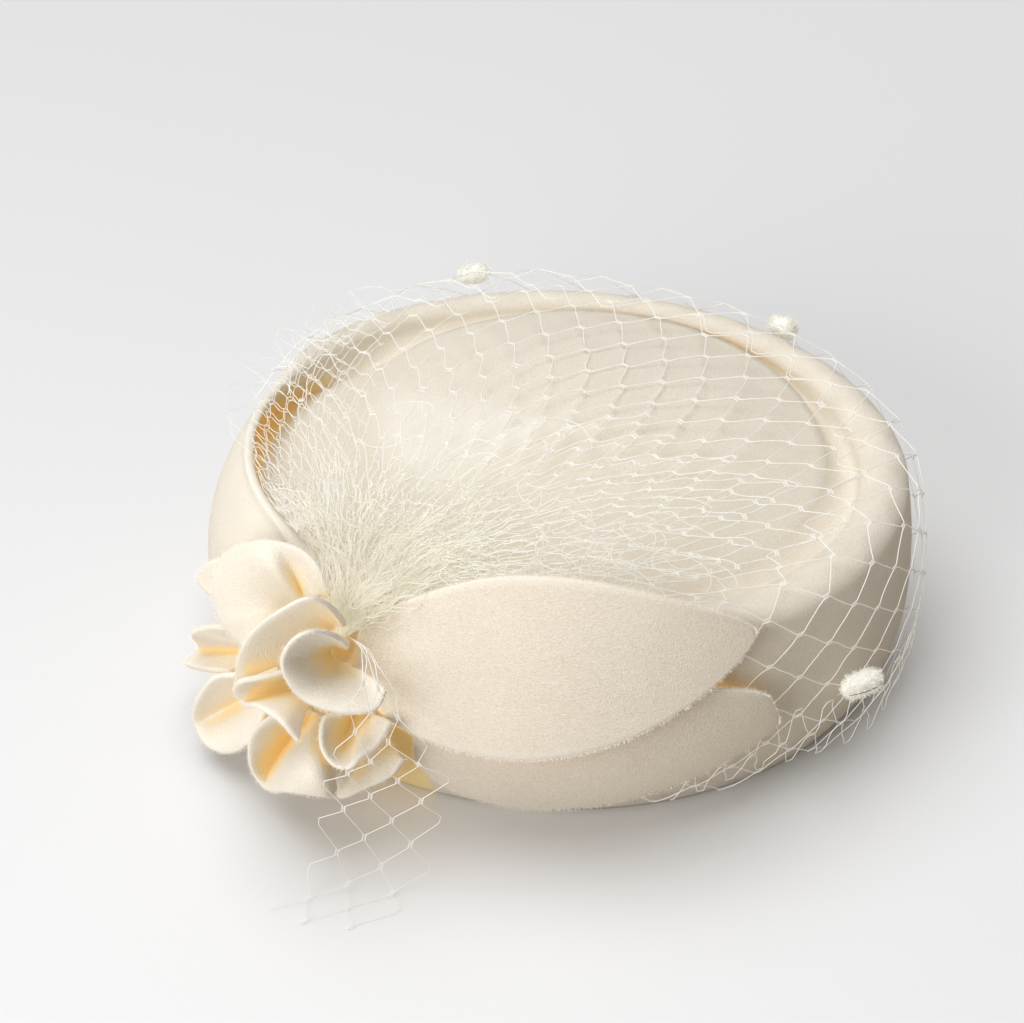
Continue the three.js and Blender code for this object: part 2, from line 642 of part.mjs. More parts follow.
const veilNet = new THREE.MeshStandardMaterial({ color: 0xf7f5ee, roughness: 0.6, metalness: 0 });
const tuft = new THREE.MeshStandardMaterial({ color: 0xeeece0, roughness: 0.9, metalness: 0 });
const veilRows = VEIL_TOP_ROWS + VEIL_WALL_ROWS;
hat.add(piece("veil_net", netGeometry(veilSurface, VEIL_COLUMNS, veilRows), veilNet));
hat.add(piece("veil_front", netGeometry(stripSurface, STRIP_COLUMNS, STRIP_ROWS), veilNet));
for (const dot of DOTS) hat.add(piece(dot.name, dotGeometry(dot), tuft));

// The frame's origin lies under the middle of the whole hat, on the surface it stands on.
const whole = new THREE.Box3().setFromObject(hat);
const middle = whole.getCenter(new THREE.Vector3()).setZ(whole.min.z);
for (const made of hat.children) made.geometry.translate(-middle.x, -middle.y, -middle.z);

export default hat;
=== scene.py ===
"""The looks of a felt pillbox hat: blocked felt body, felt leaves, felt flower and a net veil.

All shapes are worked out in millimetres round the hat's own middle and set down in the frame in metres.
"""

import math
import random

import bmesh
import bpy
import numpy as np
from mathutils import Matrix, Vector, bvhtree, noise


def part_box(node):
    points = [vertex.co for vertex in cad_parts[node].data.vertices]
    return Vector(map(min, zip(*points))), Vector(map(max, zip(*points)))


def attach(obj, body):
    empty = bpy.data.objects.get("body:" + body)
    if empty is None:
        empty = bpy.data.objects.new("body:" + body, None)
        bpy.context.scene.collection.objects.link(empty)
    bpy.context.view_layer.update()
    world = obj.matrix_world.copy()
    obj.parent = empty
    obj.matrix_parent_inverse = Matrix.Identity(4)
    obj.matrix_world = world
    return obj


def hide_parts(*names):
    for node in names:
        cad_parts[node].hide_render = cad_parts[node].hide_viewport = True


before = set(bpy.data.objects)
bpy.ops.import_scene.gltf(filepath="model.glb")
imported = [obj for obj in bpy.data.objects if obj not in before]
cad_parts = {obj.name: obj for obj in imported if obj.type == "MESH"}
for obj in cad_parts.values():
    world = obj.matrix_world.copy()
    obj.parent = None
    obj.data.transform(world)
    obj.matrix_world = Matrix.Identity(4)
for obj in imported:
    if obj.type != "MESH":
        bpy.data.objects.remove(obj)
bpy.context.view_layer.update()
noise.seed_set(3)  # without a seed, noise_vector starts from the clock

MM = 0.001
low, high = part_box("hat_body")
HAT_MIDDLE = Vector(((low.x + high.x) / 2, (low.y + high.y) / 2, 0))


def set_down(point):
    """A point in millimetres round the hat's middle, as metres in the frame."""
    return point * MM + HAT_MIDDLE


def taken_up(place):
    """A place in the frame, as millimetres round the hat's middle."""
    return (place - HAT_MIDDLE) / MM


def add_object(name, data):
    """A new object of the scene, for a mesh, a curve, a light or a lens."""
    made = bpy.data.objects.new(name, data)
    bpy.context.scene.collection.objects.link(made)
    return made


def scatter(chance, spread):
    """A small chance shift in all three directions."""
    return Vector([chance.gauss(0, spread) for _ in range(3)])


def mix(a, b, share):
    return a + (b - a) * share


def smooth(share):
    return share * share * (3 - 2 * share)


def clamp(value, least=0.0, most=1.0):
    return max(least, min(most, value))


def table_at(rows, at):
    """The columns of a table at an angle, eased between the rows on either side."""
    index = len(rows) - 2
    while index > 0 and rows[index]["at"] > at:
        index -= 1
    before, after = rows[index], rows[index + 1]
    share = smooth(clamp((at - before["at"]) / (after["at"] - before["at"])))
    return {name: mix(before[name], after[name], share) for name in before}


def rows_of(names, *rows):
    """A table whose columns have these names."""
    return [dict(zip(names.split(), row)) for row in rows]


# Sizes of the blocked felt body, the same as in the solids.
FELT = 2.4
CREST_LONG, CREST_WIDE = 93, 79
RIM_HEIGHT = 67
BULGE_OUT, BULGE_HEIGHT, BASE_OUT = 10, 30, 0.5
BULGE_TURN = 2.2  # how late the wall turns in below its bulge
CROWN_LONG, CROWN_WIDE = 71, 64
CROWN_X, CROWN_Y = 5, 8
SHOULDER_HEIGHT, SHOULDER_TILT, CROWN_RISE = 61, 4, 13
RIM_SECTIONS = rows_of(
    "at roll inset pull_out pull floor_in floor open",
    (0, 7, 0, -7, 55, 13, 55, 0),
    (60, 5, 0, -6, 58, 10, 60, 0),
    (95, 4.5, 0, -5, 62, 7, 63, 0),
    (130, 4.5, 0, -5, 58, 12, 57, 0),
    (144, 4, 1, -4, 52, 12, 54, 0),
    (164, 1.3, 4, 26, 20, 10, 64, 1),
    (212, 1.3, 4, 26, 20, 10, 64, 1),
    (240, 5, 0, -5, 55, 12, 55, 0),
    (300, 7.5, 0, -8, 55, 14, 54, 0),
    (360, 7, 0, -7, 55, 13, 55, 0),
)
OPEN_FLOOR = 0.36  # the share of the dip at which the open edge's wall ends
LEAST_HOLLOW = 0.3  # the narrowest fold inside the rolled rim
# Steps of one section of the body, on its outer face and then on its inner one.
CROWN_STEPS, MOAT_STEPS, ROLL_STEPS, WALL_STEPS = 26, 24, 14, 30
INNER_WALL_STEPS, INNER_FOLD_STEPS, INNER_CROWN_STEPS = 12, 8, 10


def rim_section(angle):
    """The rim's own sizes at an angle."""
    return table_at(RIM_SECTIONS, math.degrees(angle) % 360)


def crest_angle(spot):
    """The angle at which a point lies round the crest line."""
    return math.atan2(spot.y / CREST_WIDE, spot.x / CREST_LONG)


def crest_away(angle):
    """The outward direction across the rim's crest line."""
    return Vector((CREST_WIDE * math.cos(angle), CREST_LONG * math.sin(angle), 0)).normalized()


def off_crest(angle, out, height):
    """A point set off from the crest line by out, at a height."""
    point = Vector((CREST_LONG * math.cos(angle), CREST_WIDE * math.sin(angle), 0))
    point += crest_away(angle) * out
    point.z = height
    return point


def wall_out(height, section):
    """How far the wall's outer face lies outside the crest line."""
    if height <= BULGE_HEIGHT:
        return mix(BULGE_OUT, BASE_OUT, ((BULGE_HEIGHT - height) / BULGE_HEIGHT) ** BULGE_TURN)
    above = (height - BULGE_HEIGHT) / (RIM_HEIGHT - section["roll"] - BULGE_HEIGHT)
    return mix(BULGE_OUT, section["roll"] - section["inset"], above * above)


def crown_point(angle, share, drop):
    """The crown's face, from its shoulder at 0 to its middle at 1."""
    reach = 1 - share
    height = SHOULDER_HEIGHT + SHOULDER_TILT * reach * math.sin(angle) + CROWN_RISE * (1 - reach * reach)
    return Vector((
        CROWN_X + CROWN_LONG * reach * math.cos(angle),
        CROWN_Y + CROWN_WIDE * reach * math.sin(angle),
        height - drop,
    ))


class Moat:
    """The dip between the rim and the crown at one angle: one curve from the roll to the shoulder."""

    def __init__(self, angle, section):
        self.angle = angle
        shoulder = crown_point(angle, 0, 0)
        across = shoulder - off_crest(angle, 0, 0)
        away = crest_away(angle)
        out = across.dot(away)
        self.side = across - away * out
        self.side.z = 0
        roll, inset = section["roll"], section["inset"]
        self.pulls = [
            Vector((-roll - inset, RIM_HEIGHT - roll)),
            Vector((section["pull_out"] - inset, section["pull"])),
            Vector((-section["floor_in"], section["floor"])),
            Vector((out, shoulder.z)),
        ]

    def point(self, share, drop):
        a, b, c, d = self.pulls
        rest = 1 - share
        flat = a * rest**3 + b * (3 * rest * rest * share) + c * (3 * rest * share * share) + d * share**3
        along = (b - a) * rest * rest + (c - b) * (2 * rest * share) + (d - c) * share * share
        along.normalize()
        down = mix(-along.x, 1, share * share) * drop
        place = off_crest(self.angle, flat.x - along.y * drop, flat.y - down)
        return place + self.side * smooth(share)


def body_section(angle):
    """One section of the body, from the crown's middle over the rim, down to the cut edge and back."""
    section = rim_section(angle)
    roll, inset = section["roll"], section["inset"]
    centre = RIM_HEIGHT - roll
    moat = Moat(angle, section)
    line = [crown_point(angle, 1 - i / CROWN_STEPS, 0) for i in range(CROWN_STEPS)]
    line += [moat.point(1 - i / MOAT_STEPS, 0) for i in range(MOAT_STEPS + 1)]
    for i in range(1, ROLL_STEPS + 1):
        swing = math.pi * (1 - i / ROLL_STEPS)
        line.append(off_crest(angle, roll * math.cos(swing) - inset, centre + roll * math.sin(swing)))
    for i in range(1, WALL_STEPS + 1):
        height = centre * (1 - i / WALL_STEPS)
        line.append(off_crest(angle, wall_out(height, section), height))
    single = min(4 * section["open"], 1)
    floor_share = OPEN_FLOOR * single
    under = moat.point(floor_share, FELT)
    fold_top = mix(centre, under.z - FELT, single)
    for i in range(INNER_WALL_STEPS + 1):
        height = fold_top * i / INNER_WALL_STEPS
        line.append(off_crest(angle, wall_out(height, section) - FELT, height))
    wall_top = line[-1]
    hollow = max(roll - FELT, LEAST_HOLLOW)
    for i in range(1, INNER_FOLD_STEPS):
        swing = math.pi * i / INNER_FOLD_STEPS
        folded = off_crest(angle, hollow * math.cos(swing) - inset, centre + hollow * math.sin(swing))
        line.append(folded.lerp(wall_top.lerp(under, i / INNER_FOLD_STEPS), single))
    shares = [i / INNER_CROWN_STEPS for i in range(INNER_CROWN_STEPS + 1)]
    line += [moat.point(mix(floor_share, 1, share), FELT) for share in shares]
    line += [crown_point(angle, share, FELT) for share in shares[1:]]
    return line


def finish_piece(name, bm, material, slot, *nodes):
    """A bmesh as an object that rides on the hat and stands for CAD nodes."""
    mesh = bpy.data.meshes.new(name)
    bm.to_mesh(mesh)
    bm.free()
    mesh.shade_smooth()
    mesh.materials.append(material)
    piece = add_object(name, mesh)
    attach(piece, "root")
    if nodes:
        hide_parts(*nodes)
    return piece


def grid_over(columns, rows, place):
    """A grid whose points go to place(column, row)."""
    bm = bmesh.new()
    bmesh.ops.create_grid(bm, x_segments=columns, y_segments=rows, size=1)
    for vert in bm.verts:
        column = round((vert.co.x + 1) / 2 * columns)
        row = round((vert.co.y + 1) / 2 * rows)
        vert.co = set_down(place(column, row))
    return bm


# Felt and thread finishes.

def link(tree, source, target):
    tree.links.new(source, target)


def set_inputs(node, values):
    """Sets a node's inputs by their names."""
    for name, value in values.items():
        node.inputs[name].default_value = value


def math_node(tree, operation, *values):
    node = tree.nodes.new("ShaderNodeMath")
    node.operation = operation
    for socket, value in zip(node.inputs, values):
        if isinstance(value, (int, float)):
            socket.default_value = value
        else:
            link(tree, value, socket)
    return node.outputs[0]


def noise_node(tree, place, scale, detail, rough=0.55):
    node = tree.nodes.new("ShaderNodeTexNoise")
    set_inputs(node, {"Scale": scale, "Detail": detail, "Roughness": rough})
    link(tree, place, node.inputs["Vector"])
    return node.outputs["Fac"]


def turned(tree, place, rotation, scale):
    """Coordinates turned and drawn out, so that a pattern lies one way."""
    node = tree.nodes.new("ShaderNodeMapping")
    set_inputs(node, {"Rotation": rotation, "Scale": scale})
    link(tree, place, node.inputs["Vector"])
    return node.outputs["Vector"]


def attribute(tree, name):
    """A value that is kept at each point of a mesh."""
    node = tree.nodes.new("ShaderNodeAttribute")
    node.attribute_name = name
    return node.outputs["Fac"]


def blend(tree, first, second, share):
    """A mix of two colours, each a fixed colour or what another node puts out."""
    node = tree.nodes.new("ShaderNodeMix")
    node.data_type = "RGBA"
    for name, value in (("A", first), ("B", second), ("Factor", share)):
        if isinstance(value, tuple):
            node.inputs[name].default_value = (*value, 1)
        else:
            link(tree, value, node.inputs[name])
    return node.outputs["Result"]


def new_material(name, values):
    """A material, its node tree and its shader, with the shader's inputs set."""
    material = bpy.data.materials.new(name)
    material.use_nodes = True
    shader = material.node_tree.nodes["Principled BSDF"]
    set_inputs(shader, values)
    return material, material.node_tree, shader


SPECK_CLOSE, CLOUD_CLOSE, FIBRE_CLOSE = 2300, 70, 2600  # how many of each pattern go to a metre
FIBRE_SHARE = 0.6  # how strongly the fibres show beside the speckle


def felt_nap_group():
    """Matted wool: a fine speckle, short stray fibres and soft cloudy patches."""
    group = bpy.data.node_groups.new("felt_nap", "ShaderNodeTree")
    for name, kind, direction in (
        ("Place", "NodeSocketVector", "INPUT"),
        ("Speckle", "NodeSocketFloat", "INPUT"),
        ("Cloud", "NodeSocketFloat", "INPUT"),
        ("Tone", "NodeSocketFloat", "OUTPUT"),
        ("Nap", "NodeSocketFloat", "OUTPUT"),
    ):
        group.interface.new_socket(name=name, in_out=direction, socket_type=kind)
    start = group.nodes.new("NodeGroupInput")
    end = group.nodes.new("NodeGroupOutput")
    place = start.outputs["Place"]

    def pattern(spot, close, detail, rough=0.55):
        return math_node(group, "SUBTRACT", noise_node(group, spot, close, detail, rough), 0.5)

    speck = pattern(place, SPECK_CLOSE, 4, 0.65)
    cloud = pattern(place, CLOUD_CLOSE, 4)
    fibre = pattern(turned(group, place, (0.4, 0.9, 0.3), (1, 0.3, 1)), FIBRE_CLOSE, 2)
    fibre_across = pattern(turned(group, place, (-0.5, 0.2, 1.4), (0.3, 1, 1)), FIBRE_CLOSE, 2)
    fibres = math_node(group, "ADD", fibre, fibre_across)
    fine = math_node(group, "ADD", speck, math_node(group, "MULTIPLY", fibres, FIBRE_SHARE))
    tone = math_node(
        group, "ADD",
        math_node(group, "MULTIPLY", fine, start.outputs["Speckle"]),
        math_node(group, "MULTIPLY", cloud, start.outputs["Cloud"]),
    )
    link(group, tone, end.inputs["Tone"])
    link(group, fine, end.inputs["Nap"])
    return group


FELT_NAP = felt_nap_group()
PAINTED_FOLD_GOLD = (0.92, 0.67, 0.25)  # painted gold shade and glow deep in a fold, for light that has come through felt
CUT_EDGE = (0.95, 0.90, 0.80)  # the paler felt along a cut
CUT_SHARE = 0.6
CLOUD = 0.35
MIDDLE_TONE = 0.6  # where plain felt lies between its deep and its light end


def felt(name, light, deep, speckle, nap, painted_gold_from):
    """A felt finish between two colours, with gold shade and a gold glow painted in from some depth in a
    fold.
    """
    material, tree, shader = new_material(name, {
        "Roughness": 0.95, "Specular IOR Level": 0.15, "Sheen Weight": 0.25, "Sheen Roughness": 0.6,
        "Emission Strength": 0.17,
    })
    grain = tree.nodes.new("ShaderNodeGroup")
    grain.node_tree = FELT_NAP
    set_inputs(grain, {"Speckle": speckle, "Cloud": CLOUD})
    link(tree, tree.nodes.new("ShaderNodeTexCoord").outputs["Object"], grain.inputs["Place"])
    ease = tree.nodes.new("ShaderNodeMapRange")
    ease.interpolation_type = "SMOOTHSTEP"
    set_inputs(ease, {"From Min": painted_gold_from, "From Max": 0.95, "To Max": 0.9})
    link(tree, attribute(tree, "fold"), ease.inputs["Value"])
    painted_gold_share = ease.outputs["Result"]
    speckled = blend(tree, deep, light, math_node(tree, "ADD", grain.outputs["Tone"], MIDDLE_TONE))
    cut = math_node(tree, "MULTIPLY", attribute(tree, "edge"), CUT_SHARE)
    edged = blend(tree, speckled, CUT_EDGE, cut)
    # Painted shade and glow: deep in a fold the colour turns gold and the emission glows gold.
    link(tree, blend(tree, edged, PAINTED_FOLD_GOLD, painted_gold_share), shader.inputs["Base Color"])
    link(tree, blend(tree, (0, 0, 0), PAINTED_FOLD_GOLD, painted_gold_share), shader.inputs["Emission Color"])
    bump = tree.nodes.new("ShaderNodeBump")
    set_inputs(bump, {"Strength": 0.55, "Distance": nap})
    link(tree, grain.outputs["Nap"], bump.inputs["Height"])
    link(tree, bump.outputs["Normal"], shader.inputs["Normal"])
    return material


BODY_FELT = felt("felt_body", light=(0.92, 0.86, 0.74), deep=(0.77, 0.69, 0.56),
                 speckle=1.3, nap=0.0005, painted_gold_from=0.46)
LEAF_FELT = felt("felt_leaf", light=(0.92, 0.84, 0.71), deep=(0.70, 0.60, 0.47),
                 speckle=1.5, nap=0.0005, painted_gold_from=0.45)
PETAL_FELT = felt("felt_petal", light=(0.98, 0.93, 0.82), deep=(0.86, 0.75, 0.58),
                  speckle=1.7, nap=0.0006, painted_gold_from=0.25)
WORN_CLOSE = 220  # how many changes of a thread's tone go to a metre


def thread(name, colour, worn, painted_glow=0.0):
    """Netting thread: pale, a little glossy, uneven in tone, with a painted glow of its own colour for the
    light that it lets through.
    """
    material, tree, shader = new_material(name, {
        "Roughness": 0.5, "Sheen Weight": 0.2, "Emission Strength": painted_glow,
    })
    place = tree.nodes.new("ShaderNodeTexCoord").outputs["Object"]
    toned = blend(tree, worn, colour, noise_node(tree, place, WORN_CLOSE, 3))
    link(tree, toned, shader.inputs["Base Color"])
    link(tree, toned, shader.inputs["Emission Color"])
    return material


# Felt fibres, veil threads and tufts each get a small painted glow.
FELT_FIBRE = thread("felt_fibre", (0.96, 0.90, 0.78), (0.90, 0.82, 0.68), 0.12)
VEIL_THREAD = thread("veil_thread", (0.96, 0.95, 0.90), (0.87, 0.86, 0.80), 0.13)
GATHER_THREAD = thread("gather_thread", (0.97, 0.94, 0.83), (0.86, 0.82, 0.68), 0.13)
VEIL_TUFT = thread("veil_tuft", (0.96, 0.95, 0.88), (0.86, 0.85, 0.76), 0.15)
TUFT_WIRE = thread("tuft_wire", (0.30, 0.27, 0.22), (0.16, 0.14, 0.11))

# The blocked felt body.
BODY_SECTIONS = 168
DENTS = (0.035, 0.5), (0.09, 0.2)  # the felt's soft dents: how close they lie and how deep they are
DENTS_FROM = 20  # the height from which they have their full depth
TOP_FROM, TOP_FACING, TOP_PASSES = 0.04, 0.3, 24  # the top that is smoothed: height, slope and passes
EDGE_DOWN, EDGE_FADE = 3, 2  # how far the open edge's pale cut reaches down, and fades out


def build_body():
    sections = [body_section(math.tau * i / BODY_SECTIONS) for i in range(BODY_SECTIONS)]

    def place(column, row):
        point = sections[column % BODY_SECTIONS][row].copy()
        dent = sum(noise.noise(point * close) * deep for close, deep in DENTS)
        point.z += dent * clamp(point.z / DENTS_FROM)
        return point

    bm = grid_over(BODY_SECTIONS, len(sections[0]) - 1, place)
    bmesh.ops.remove_doubles(bm, verts=bm.verts, dist=1e-6)
    bmesh.ops.recalc_face_normals(bm, faces=bm.faces)
    top = [vert for vert in bm.verts if vert.co.z > TOP_FROM and vert.normal.z > TOP_FACING]
    for _ in range(TOP_PASSES):
        bmesh.ops.smooth_vert(
            bm, verts=top, factor=0.5, use_axis_x=False, use_axis_y=False, use_axis_z=True)
    edge = bm.verts.layers.float.new("edge")
    for vert in bm.verts:
        spot = taken_up(vert.co)
        section = rim_section(crest_angle(spot))
        vert[edge] = section["open"] * clamp((spot.z - RIM_HEIGHT + EDGE_DOWN) / EDGE_FADE)
    return finish_piece("felt_hat_body", bm, BODY_FELT, "felt_body", "hat_body")


# The two cut felt leaves.
LEAF_THICK = 2.2
LEAF_ROUND = 0.8  # the lower, the fuller the leaf's sides
LEAF_FILL = 0.72  # a leaf's share of the rectangle round it
LEAF_COLUMNS, LEAF_ROWS = 40, 14
LEAVES = {
    "leaf_upper": dict(at=(243, 272, 305), height=(54, 63, 66), off=(3.6, 7, 3.5),
                       lean=28, half=(25, 25), blunt=0, cup=2),
    "leaf_lower": dict(at=(253, 274, 309), height=(28, 31, 35), off=(1.7, 6, 5),
                       lean=-2, half=(20, 26), blunt=0.45, cup=4),
}


def through(values, share):
    """A value eased through three stations."""
    first, middle, last = values
    bend = 2 * middle - (first + last) / 2
    return mix(mix(first, bend, share), mix(bend, last, share), share)


def leaf_point(leaf, u, v):
    """A point of a leaf, u of the way from its root to its tip and v of the way up across it."""
    angle = math.radians(through(leaf["at"], u))
    height = through(leaf["height"], u)
    section = rim_section(angle)
    wall = wall_out(min(height, RIM_HEIGHT - section["roll"]), section)
    away = crest_away(angle)
    lean = math.radians(leaf["lean"])
    across = away * -math.sin(lean) + Vector((0, 0, math.cos(lean)))
    facing = away * math.cos(lean) + Vector((0, 0, math.sin(lean)))
    above = 1 if v > 0.5 else 0
    power = LEAF_ROUND - above * leaf["blunt"] * smooth(clamp((u - 0.4) / 0.4))
    side = (2 * v - 1) * (0.03 + 0.97 * math.sin(math.pi * (0.07 + 0.93 * u)) ** power)
    point = off_crest(angle, wall + through(leaf["off"], u), height)
    return point + across * (side * leaf["half"][above]) - facing * (leaf["cup"] * side * side)


def felt_sheet(name, bm, thick, material, slot, node, cut):
    bmesh.ops.recalc_face_normals(bm, faces=bm.faces)
    bm.normal_update()
    flat = sum(face.calc_area() for face in bm.faces)
    edge = bm.verts.layers.float.new("edge")
    for vert in bm.verts:
        vert[edge] = 1.0 if vert.is_boundary else 0.0
        vert.co += vert.normal * (thick * MM / 2)
    bmesh.ops.solidify(bm, geom=list(bm.faces), thickness=thick * MM)
    bmesh.ops.recalc_face_normals(bm, faces=bm.faces)
    piece = finish_piece(name, bm, material, slot, node)
    soft = piece.modifiers.new("soft edges", "SUBSURF")
    soft.levels = soft.render_levels = 2
    width, length = cut(flat)
    return piece


def build_leaf(name):
    leaf = LEAVES[name]

    def place(column, row):
        return leaf_point(leaf, column / LEAF_COLUMNS, row / LEAF_ROWS)

    bm = grid_over(LEAF_COLUMNS, LEAF_ROWS, place)
    wide = sum(leaf["half"]) * MM
    return felt_sheet("felt_" + name, bm, LEAF_THICK, LEAF_FELT, "felt_leaf", name,
                      lambda flat: (wide, flat / (LEAF_FILL * wide)))


# The flower of folded felt discs.
FLOWER_AT = math.radians(236)
FLOWER_HEIGHT = 36
PETAL_THICK = 1.8
PETAL_COLUMNS, RIB_ROWS = 8, 4
FLOWER_OUT = crest_away(FLOWER_AT)
FLOWER_ALONG = Vector((0, 0, 1)).cross(FLOWER_OUT)
FLOWER_ROOT = off_crest(FLOWER_AT, wall_out(FLOWER_HEIGHT, rim_section(FLOWER_AT)), FLOWER_HEIGHT)
PETALS = {
    "petal_top": ((-3.5, -14, 18), (-4.5, -6, 24), (
        ((7.5, -11.5, 19), (8, -21.5, 7.5)), ((8.5, -13.5, 22.5), (7, -29, 10)),
        ((8, -15.5, 25.5), (5, -33.5, 13)), ((8, -16, 30), (2, -36.5, 18.5)),
        ((9.5, -13, 38.5), (-3.5, -36.5, 26)), ((7.5, -9, 39.5), (-2, -21, 39)),
        ((-2, -12.5, 29.5), (-3, -10, 41.5)), ((-2.5, -7, 28.5), (-3, -2, 38.5)),
        ((-1, -2.5, 30.5), (-2.5, 2.5, 30)),
    )),
    "petal_top_back": ((-3.5, -24, 8), (-4.5, -23, 14), (
        ((-4, -36.5, 9), (-5, -43, 5)), ((-4, -40, 9.5), (-7, -49, 4)),
        ((-5, -40.5, 11), (-9, -53.5, 4.5)), ((-5.5, -40, 13.5), (-10, -51, 10.5)),
        ((-5.5, -36.5, 15.5), (-9.5, -43, 17.5)),
    )),
    "petal_left": ((-1, -20, 5), (-0.5, -20, -3), (
        ((3, -28, 3.5), (4.5, -28, 9)), ((3.5, -33, 1.5), (5, -36.5, 5.5)),
        ((4, -35, 0), (3.5, -45.5, -3)), ((-2.5, -38.5, -10), (-6.5, -53, -19.5)),
        ((1, -40.5, -12), (0.5, -52.5, -20.5)), ((3.5, -34, -9.5), (5, -40, -13)),
        ((3, -30, -7), (6.5, -28.5, -7)),
    )),
    "petal_arch": ((-3.5, 4, 22), (-2, -1, 16), (
        ((2.5, 11.5, 27), (3.5, 12, 29.5)), ((4.5, 11, 31), (8.5, 11, 39.5)),
        ((7, 7, 31.5), (13.5, 8, 43.5)), ((8, 2, 25.5), (18, 1, 38)), ((10.5, -1.5, 21), (20, -7, 28)),
        ((12, -1.5, 17.5), (21.5, -11, 18)), ((14, -0.5, 15), (21, -12.5, 10)),
    )),
    "petal_front": ((-1, 2, 15), (0, 3, 9), (
        ((9.5, 18.5, 28.5), (10.5, 19, 31)), ((12.5, 18, 32), (17.5, 20.5, 40)),
        ((15.5, 18, 33.5), (23.5, 19, 45)), ((18, 17, 34), (28, 16, 44)),
        ((19, 15, 31), (30.5, 13.5, 38)), ((22.5, 18.5, 31.5), (31, 14.5, 32)),
        ((24, 22.5, 31), (30, 18.5, 26)), ((22.5, 25.5, 30), (27.5, 25, 23.5)),
        ((19, 27.5, 28.5), (23.5, 31, 22.5)), ((15, 28, 27), (18.5, 34.5, 22.5)),
        ((10.5, 25, 26), (13, 33.5, 24.5)),
    )),
    "petal_rolled": ((0.5, -6, 3), (1.5, 0, -3), (
        ((15, 2, 14), (17.5, 1, 17.5)), ((18, 0.5, 15), (22.5, -2.5, 17)),
        ((20, -0.5, 14.5), (26.5, -6, 16.5)), ((19.5, -1.5, 10.5), (25.5, -9.5, 10.5)),
        ((20, -1, 8), (25, -7.5, 6.5)), ((22.5, 3.5, 11.5), (28.5, 2, 13)),
        ((24.5, 9.5, 14.5), (30.5, 11.5, 14.5)), ((23.5, 12, 13), (30, 17, 9.5)),
    )),
    "petal_low_left": ((0, -17, -3), (0.5, -13, -9), (
        ((9, -21, -5), (10.5, -22.5, -1)), ((9, -26.5, -9), (13.5, -28.5, -3.5)),
        ((7, -31.5, -18), (14, -35.5, -15.5)), ((3.5, -36, -28), (12.5, -39, -27)),
        ((9.5, -28.5, -23.5), (16, -31.5, -29)), ((14.5, -20.5, -16.5), (17, -21.5, -26)),
        ((14.5, -16, -11), (20.5, -9, -11.5)), ((12.5, -12, -5.5), (15.5, -7.5, -2.5)),
    )),
    "petal_bottom": ((1, -7, -12), (1, 3, -12), (
        ((15.5, 1.5, -2), (19, -1.5, 2)), ((15, -2.5, -7.5), (22, -7, -5.5)),
        ((14, -5.5, -13), (23, -8.5, -14.5)), ((10.5, -11, -23), (22.5, -7.5, -22)),
        ((12.5, -10, -25.5), (23, -1.5, -24)), ((25, 4.5, -8), (29, 11, -12.5)),
        ((32.5, 18, 10), (29.5, 19, -8.5)), ((30, 21.5, 10), (27, 23.5, -8.5)),
        ((21, 17.5, -2), (22, 22, -11)),
    )),
    "petal_loop": ((0.5, 10, 1), (0, 15, -3), (
        ((11, 22, 9), (14.5, 18, 9.5)), ((11, 19, 4), (19.5, 16.5, 10.5)),
        ((11, 16.5, -2.5), (24, 19, 6)), ((11.5, 18.5, -4.5), (25.5, 24, 2.5)),
        ((14.5, 24, 0.5), (24.5, 29, 3)), ((15.5, 27.5, 5.5), (22, 30.5, 5.5)),
        ((13.5, 29, 7.5), (17, 32.5, 7)), ((10, 30, 11), (11, 33, 11.5)),
    )),
    "petal_low_right": ((-1, 22, -6), (0, 13, -9), (
        ((4.5, 29, -6), (6.5, 33, -5)), ((7.5, 28.5, -6.5), (9, 31, -10.5)),
        ((10, 26.5, -8), (13.5, 26, -14.5)), ((12, 22.5, -10), (15.5, 17, -22)),
        ((11, 21, -7.5), (15.5, 16.5, -12.5)),
    )),
}


def rib_line(points, share):
    """A smooth line through one point of each rib, at a share of the way across the petal."""
    place = (len(points) - 1) * share
    index = min(int(place), len(points) - 2)
    t = place - index
    b, c = points[index], points[index + 1]
    a = points[index - 1] if index else 2 * b - c
    d = points[index + 2] if index + 2 < len(points) else 2 * c - b
    bend = 2 * a - 5 * b + 4 * c - d
    return 0.5 * (2 * b + (c - a) * t + bend * t * t + (3 * b - a - 3 * c + d) * t**3)


def in_flower(spot):
    """A point of the flower, given as out from its root, along the wall and up."""
    out, along, up = spot
    return FLOWER_ROOT + FLOWER_OUT * out + FLOWER_ALONG * along + Vector((0, 0, up))


def petal_point(roots, middles, rims, u, v):
    """A point of a petal, u of the way from its root to its rim and v of the way across it."""
    start = roots[0].lerp(roots[1], v)
    middle, rim = rib_line(middles, v), rib_line(rims, v)
    return start.lerp(middle, u).lerp(middle.lerp(rim, u), u)


def build_petal(name):
    """A round disc of felt, pinched at its root; a disc of the same area is worked out as its flat size,
    which nothing keeps.
    """
    first, last, ribs = PETALS[name]
    roots = in_flower(first), in_flower(last)
    middles = [in_flower(rib[0]) for rib in ribs]
    rims = [in_flower(rib[1]) for rib in ribs]
    rows = RIB_ROWS * len(ribs)

    def place(column, row):
        return petal_point(roots, middles, rims, column / PETAL_COLUMNS, row / rows)

    def disc(flat):
        return (math.sqrt(4 * flat / math.pi),) * 2

    bm = grid_over(PETAL_COLUMNS, rows, place)
    return felt_sheet("felt_" + name, bm, PETAL_THICK, PETAL_FELT, "felt_petal", name, disc)


